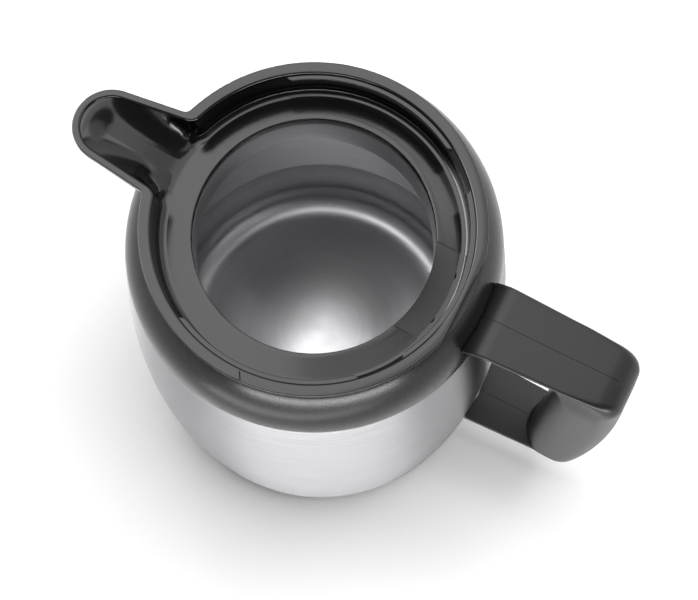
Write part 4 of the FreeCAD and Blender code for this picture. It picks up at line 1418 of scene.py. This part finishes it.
class MakeStage(bpy.types.Operator):
    """Floor, lamps, surroundings and camera"""

    bl_idname = "coffee_pot.make_stage"
    bl_label = "Stage"

    def execute(self, context):
        scene = context.scene
        self.add_floor(scene.coffee_pot_colours.floor)
        self.add_lamps()
        self.add_room(scene)
        self.add_camera(scene)
        scene.view_settings.view_transform = "Standard"
        return {"FINISHED"}

    def add_lamps(self):
        """Soft lamps round and above the pot; their last numbers are width, height and brightness."""
        rim = (0, 0, RIM)
        # Two panels overhead that show only as reflections.
        add_lamp("lamp_above", (-0.66, 0.36, 1.66), (-0.66, 0.36, 0), 1.3, 1.9, 3.3, on_floor=False)
        add_lamp("lamp_beside", (0.195, 0.36, 1.66), (0.195, 0.36, 0), 0.41, 1.9, 1.9, on_floor=False)
        # The lamp that lights the table and throws the pot's shadow, and two weak ones round the pot.
        add_lamp("lamp_table", away(95, 79, 1.6), rim, 1.2, 0.9, 9.5, in_gloss=False)
        add_lamp("lamp_right", away(42, 33, 1.6), rim, 1.8, 1.9, 1.1)
        add_lamp("lamp_back", away(92, 28, 1.6), rim, 1.0, 0.8, 1.1)
        # Bright strips that show only as reflections: streaks on the barrel, the liner and the band.
        add_lamp("lamp_left", away(184, 28, 1.2), rim, 1.2, 0.6, 9.0, on_floor=False)
        add_lamp("lamp_front", away(-61, 2.5, 1.2), rim, 1.56, 0.2, 20.0, on_floor=False)
        add_lamp("lamp_low", (0.15, -0.36, 0.002), (0.15, -0.36, 1), 0.5, 0.2, 3.0, on_floor=False)

    def add_camera(self, scene):
        """The camera, which looks down at the rim."""
        view = scene.coffee_pot_stage
        aim = Vector((view.aim_along, view.aim_across, RIM))
        back = Vector((
            math.sin(view.azimuth) * math.cos(view.elevation),
            -math.cos(view.azimuth) * math.cos(view.elevation),
            math.sin(view.elevation),
        ))
        camera = bpy.data.cameras.new("camera")
        camera.lens = view.lens
        camera.sensor_width = 36.0
        holder = bpy.data.objects.new("camera", camera)
        scene.collection.objects.link(holder)
        right = Vector((math.cos(view.azimuth), math.sin(view.azimuth), 0))
        turn = Matrix((right, back.cross(right), back)).transposed()
        holder.matrix_world = Matrix.Translation(aim + back * view.distance) @ turn.to_4x4()
        scene.camera = holder

    def add_floor(self, colour):
        """A pale table with a far wall all round, which glows white for the eye away from the pot."""
        reach = 30.0
        wall = 8.0
        glow_start = 0.4
        glow_full = 1.2
        glow_near = 0.1
        mesh = bpy.data.meshes.new("floor")
        corners = [(-reach, -reach), (reach, -reach), (reach, reach), (-reach, reach)]
        spots = [(x, y, level) for level in (0, wall) for x, y in corners]
        sides = [(first, first + 4, (first + 1) % 4 + 4, (first + 1) % 4) for first in range(4)]
        mesh.from_pydata(spots, [], [(0, 1, 2, 3), *sides])
        material, tree, shader = new_material("white_table", colour, 0.9, Specular_IOR_Level=0.0)
        shader.inputs["Emission Color"].default_value = (1, 1, 1, 1)
        path = add_node(tree, "ShaderNodeLightPath")
        seen = add_node(
            tree, "ShaderNodeMath", operation="MAXIMUM",
            links={0: path.outputs["Is Camera Ray"], 1: path.outputs["Is Glossy Ray"]},
        )
        seen = add_node(
            tree, "ShaderNodeMath", operation="MAXIMUM",
            links={0: seen.outputs[0], 1: path.outputs["Is Transmission Ray"]},
        )
        place = add_node(tree, "ShaderNodeTexCoord")
        distance = add_node(
            tree, "ShaderNodeVectorMath", operation="LENGTH", links={0: place.outputs["Object"]},
        )
        haze = add_node(
            tree, "ShaderNodeMapRange",
            values={"From Min": glow_start, "From Max": glow_full, "To Min": glow_near, "To Max": 1.0},
            links={"Value": distance.outputs["Value"]},
        )
        glow = add_node(
            tree, "ShaderNodeMath", operation="MULTIPLY",
            links={0: haze.outputs["Result"], 1: seen.outputs[0]},
        )
        tree.links.new(glow.outputs[0], shader.inputs["Emission Strength"])
        mesh.materials.append(material)
        floor = bpy.data.objects.new("floor", mesh)
        bpy.context.scene.collection.objects.link(floor)

    def add_room(self, scene):
        """A dim grey room round the table."""
        world = bpy.data.worlds.new("studio")
        scene.world = world
        world.use_nodes = True
        tree = world.node_tree
        tree.nodes.clear()
        room = add_node(tree, "ShaderNodeBackground", values={"Color": (0.1, 0.1, 0.1, 1)})
        add_node(tree, "ShaderNodeOutputWorld", links={"Surface": room.outputs[0]})


OPERATORS = (
    MakeBarrel, MakeLiner, MakeBand, MakeCollar, MakeLugs, MakeMark, MakeHandle,
    MakeScrews, MakeBase, FinishHidden, MakeStage,
)


class CoffeePotPanel(bpy.types.Panel):
    """Sidebar panel with the pot's pieces, sizes and colours"""

    bl_idname = "VIEW3D_PT_coffee_pot"
    bl_label = "Coffee Pot"
    bl_space_type = "VIEW_3D"
    bl_region_type = "UI"
    bl_category = "Coffee Pot"

    def draw(self, context):
        for operator in OPERATORS:
            self.layout.operator(operator.bl_idname)
        for group in ("coffee_pot_sizes", "coffee_pot_colours", "coffee_pot_stage"):
            settings = getattr(context.scene, group)
            column = self.layout.column(align=True)
            for name in settings.__annotations__:
                column.prop(settings, name)


CLASSES = (CoffeePotSizes, CoffeePotColours, CoffeePotStage, *OPERATORS, CoffeePotPanel)


def register():
    for item in CLASSES:
        bpy.utils.register_class(item)
    bpy.types.Scene.coffee_pot_sizes = PointerProperty(type=CoffeePotSizes)
    bpy.types.Scene.coffee_pot_colours = PointerProperty(type=CoffeePotColours)
    bpy.types.Scene.coffee_pot_stage = PointerProperty(type=CoffeePotStage)


def unregister():
    del bpy.types.Scene.coffee_pot_stage
    del bpy.types.Scene.coffee_pot_colours
    del bpy.types.Scene.coffee_pot_sizes
    for item in reversed(CLASSES):
        bpy.utils.unregister_class(item)


def main():
    register()
    bpy.ops.coffee_pot.make_barrel()
    bpy.ops.coffee_pot.make_liner()
    bpy.ops.coffee_pot.make_band()
    bpy.ops.coffee_pot.make_collar()
    bpy.ops.coffee_pot.make_lugs()
    bpy.ops.coffee_pot.make_mark()
    bpy.ops.coffee_pot.make_handle()
    bpy.ops.coffee_pot.make_screws()
    bpy.ops.coffee_pot.make_base()
    bpy.ops.coffee_pot.finish_hidden()
    bpy.ops.coffee_pot.make_stage()


if __name__ == "__main__":
    main()
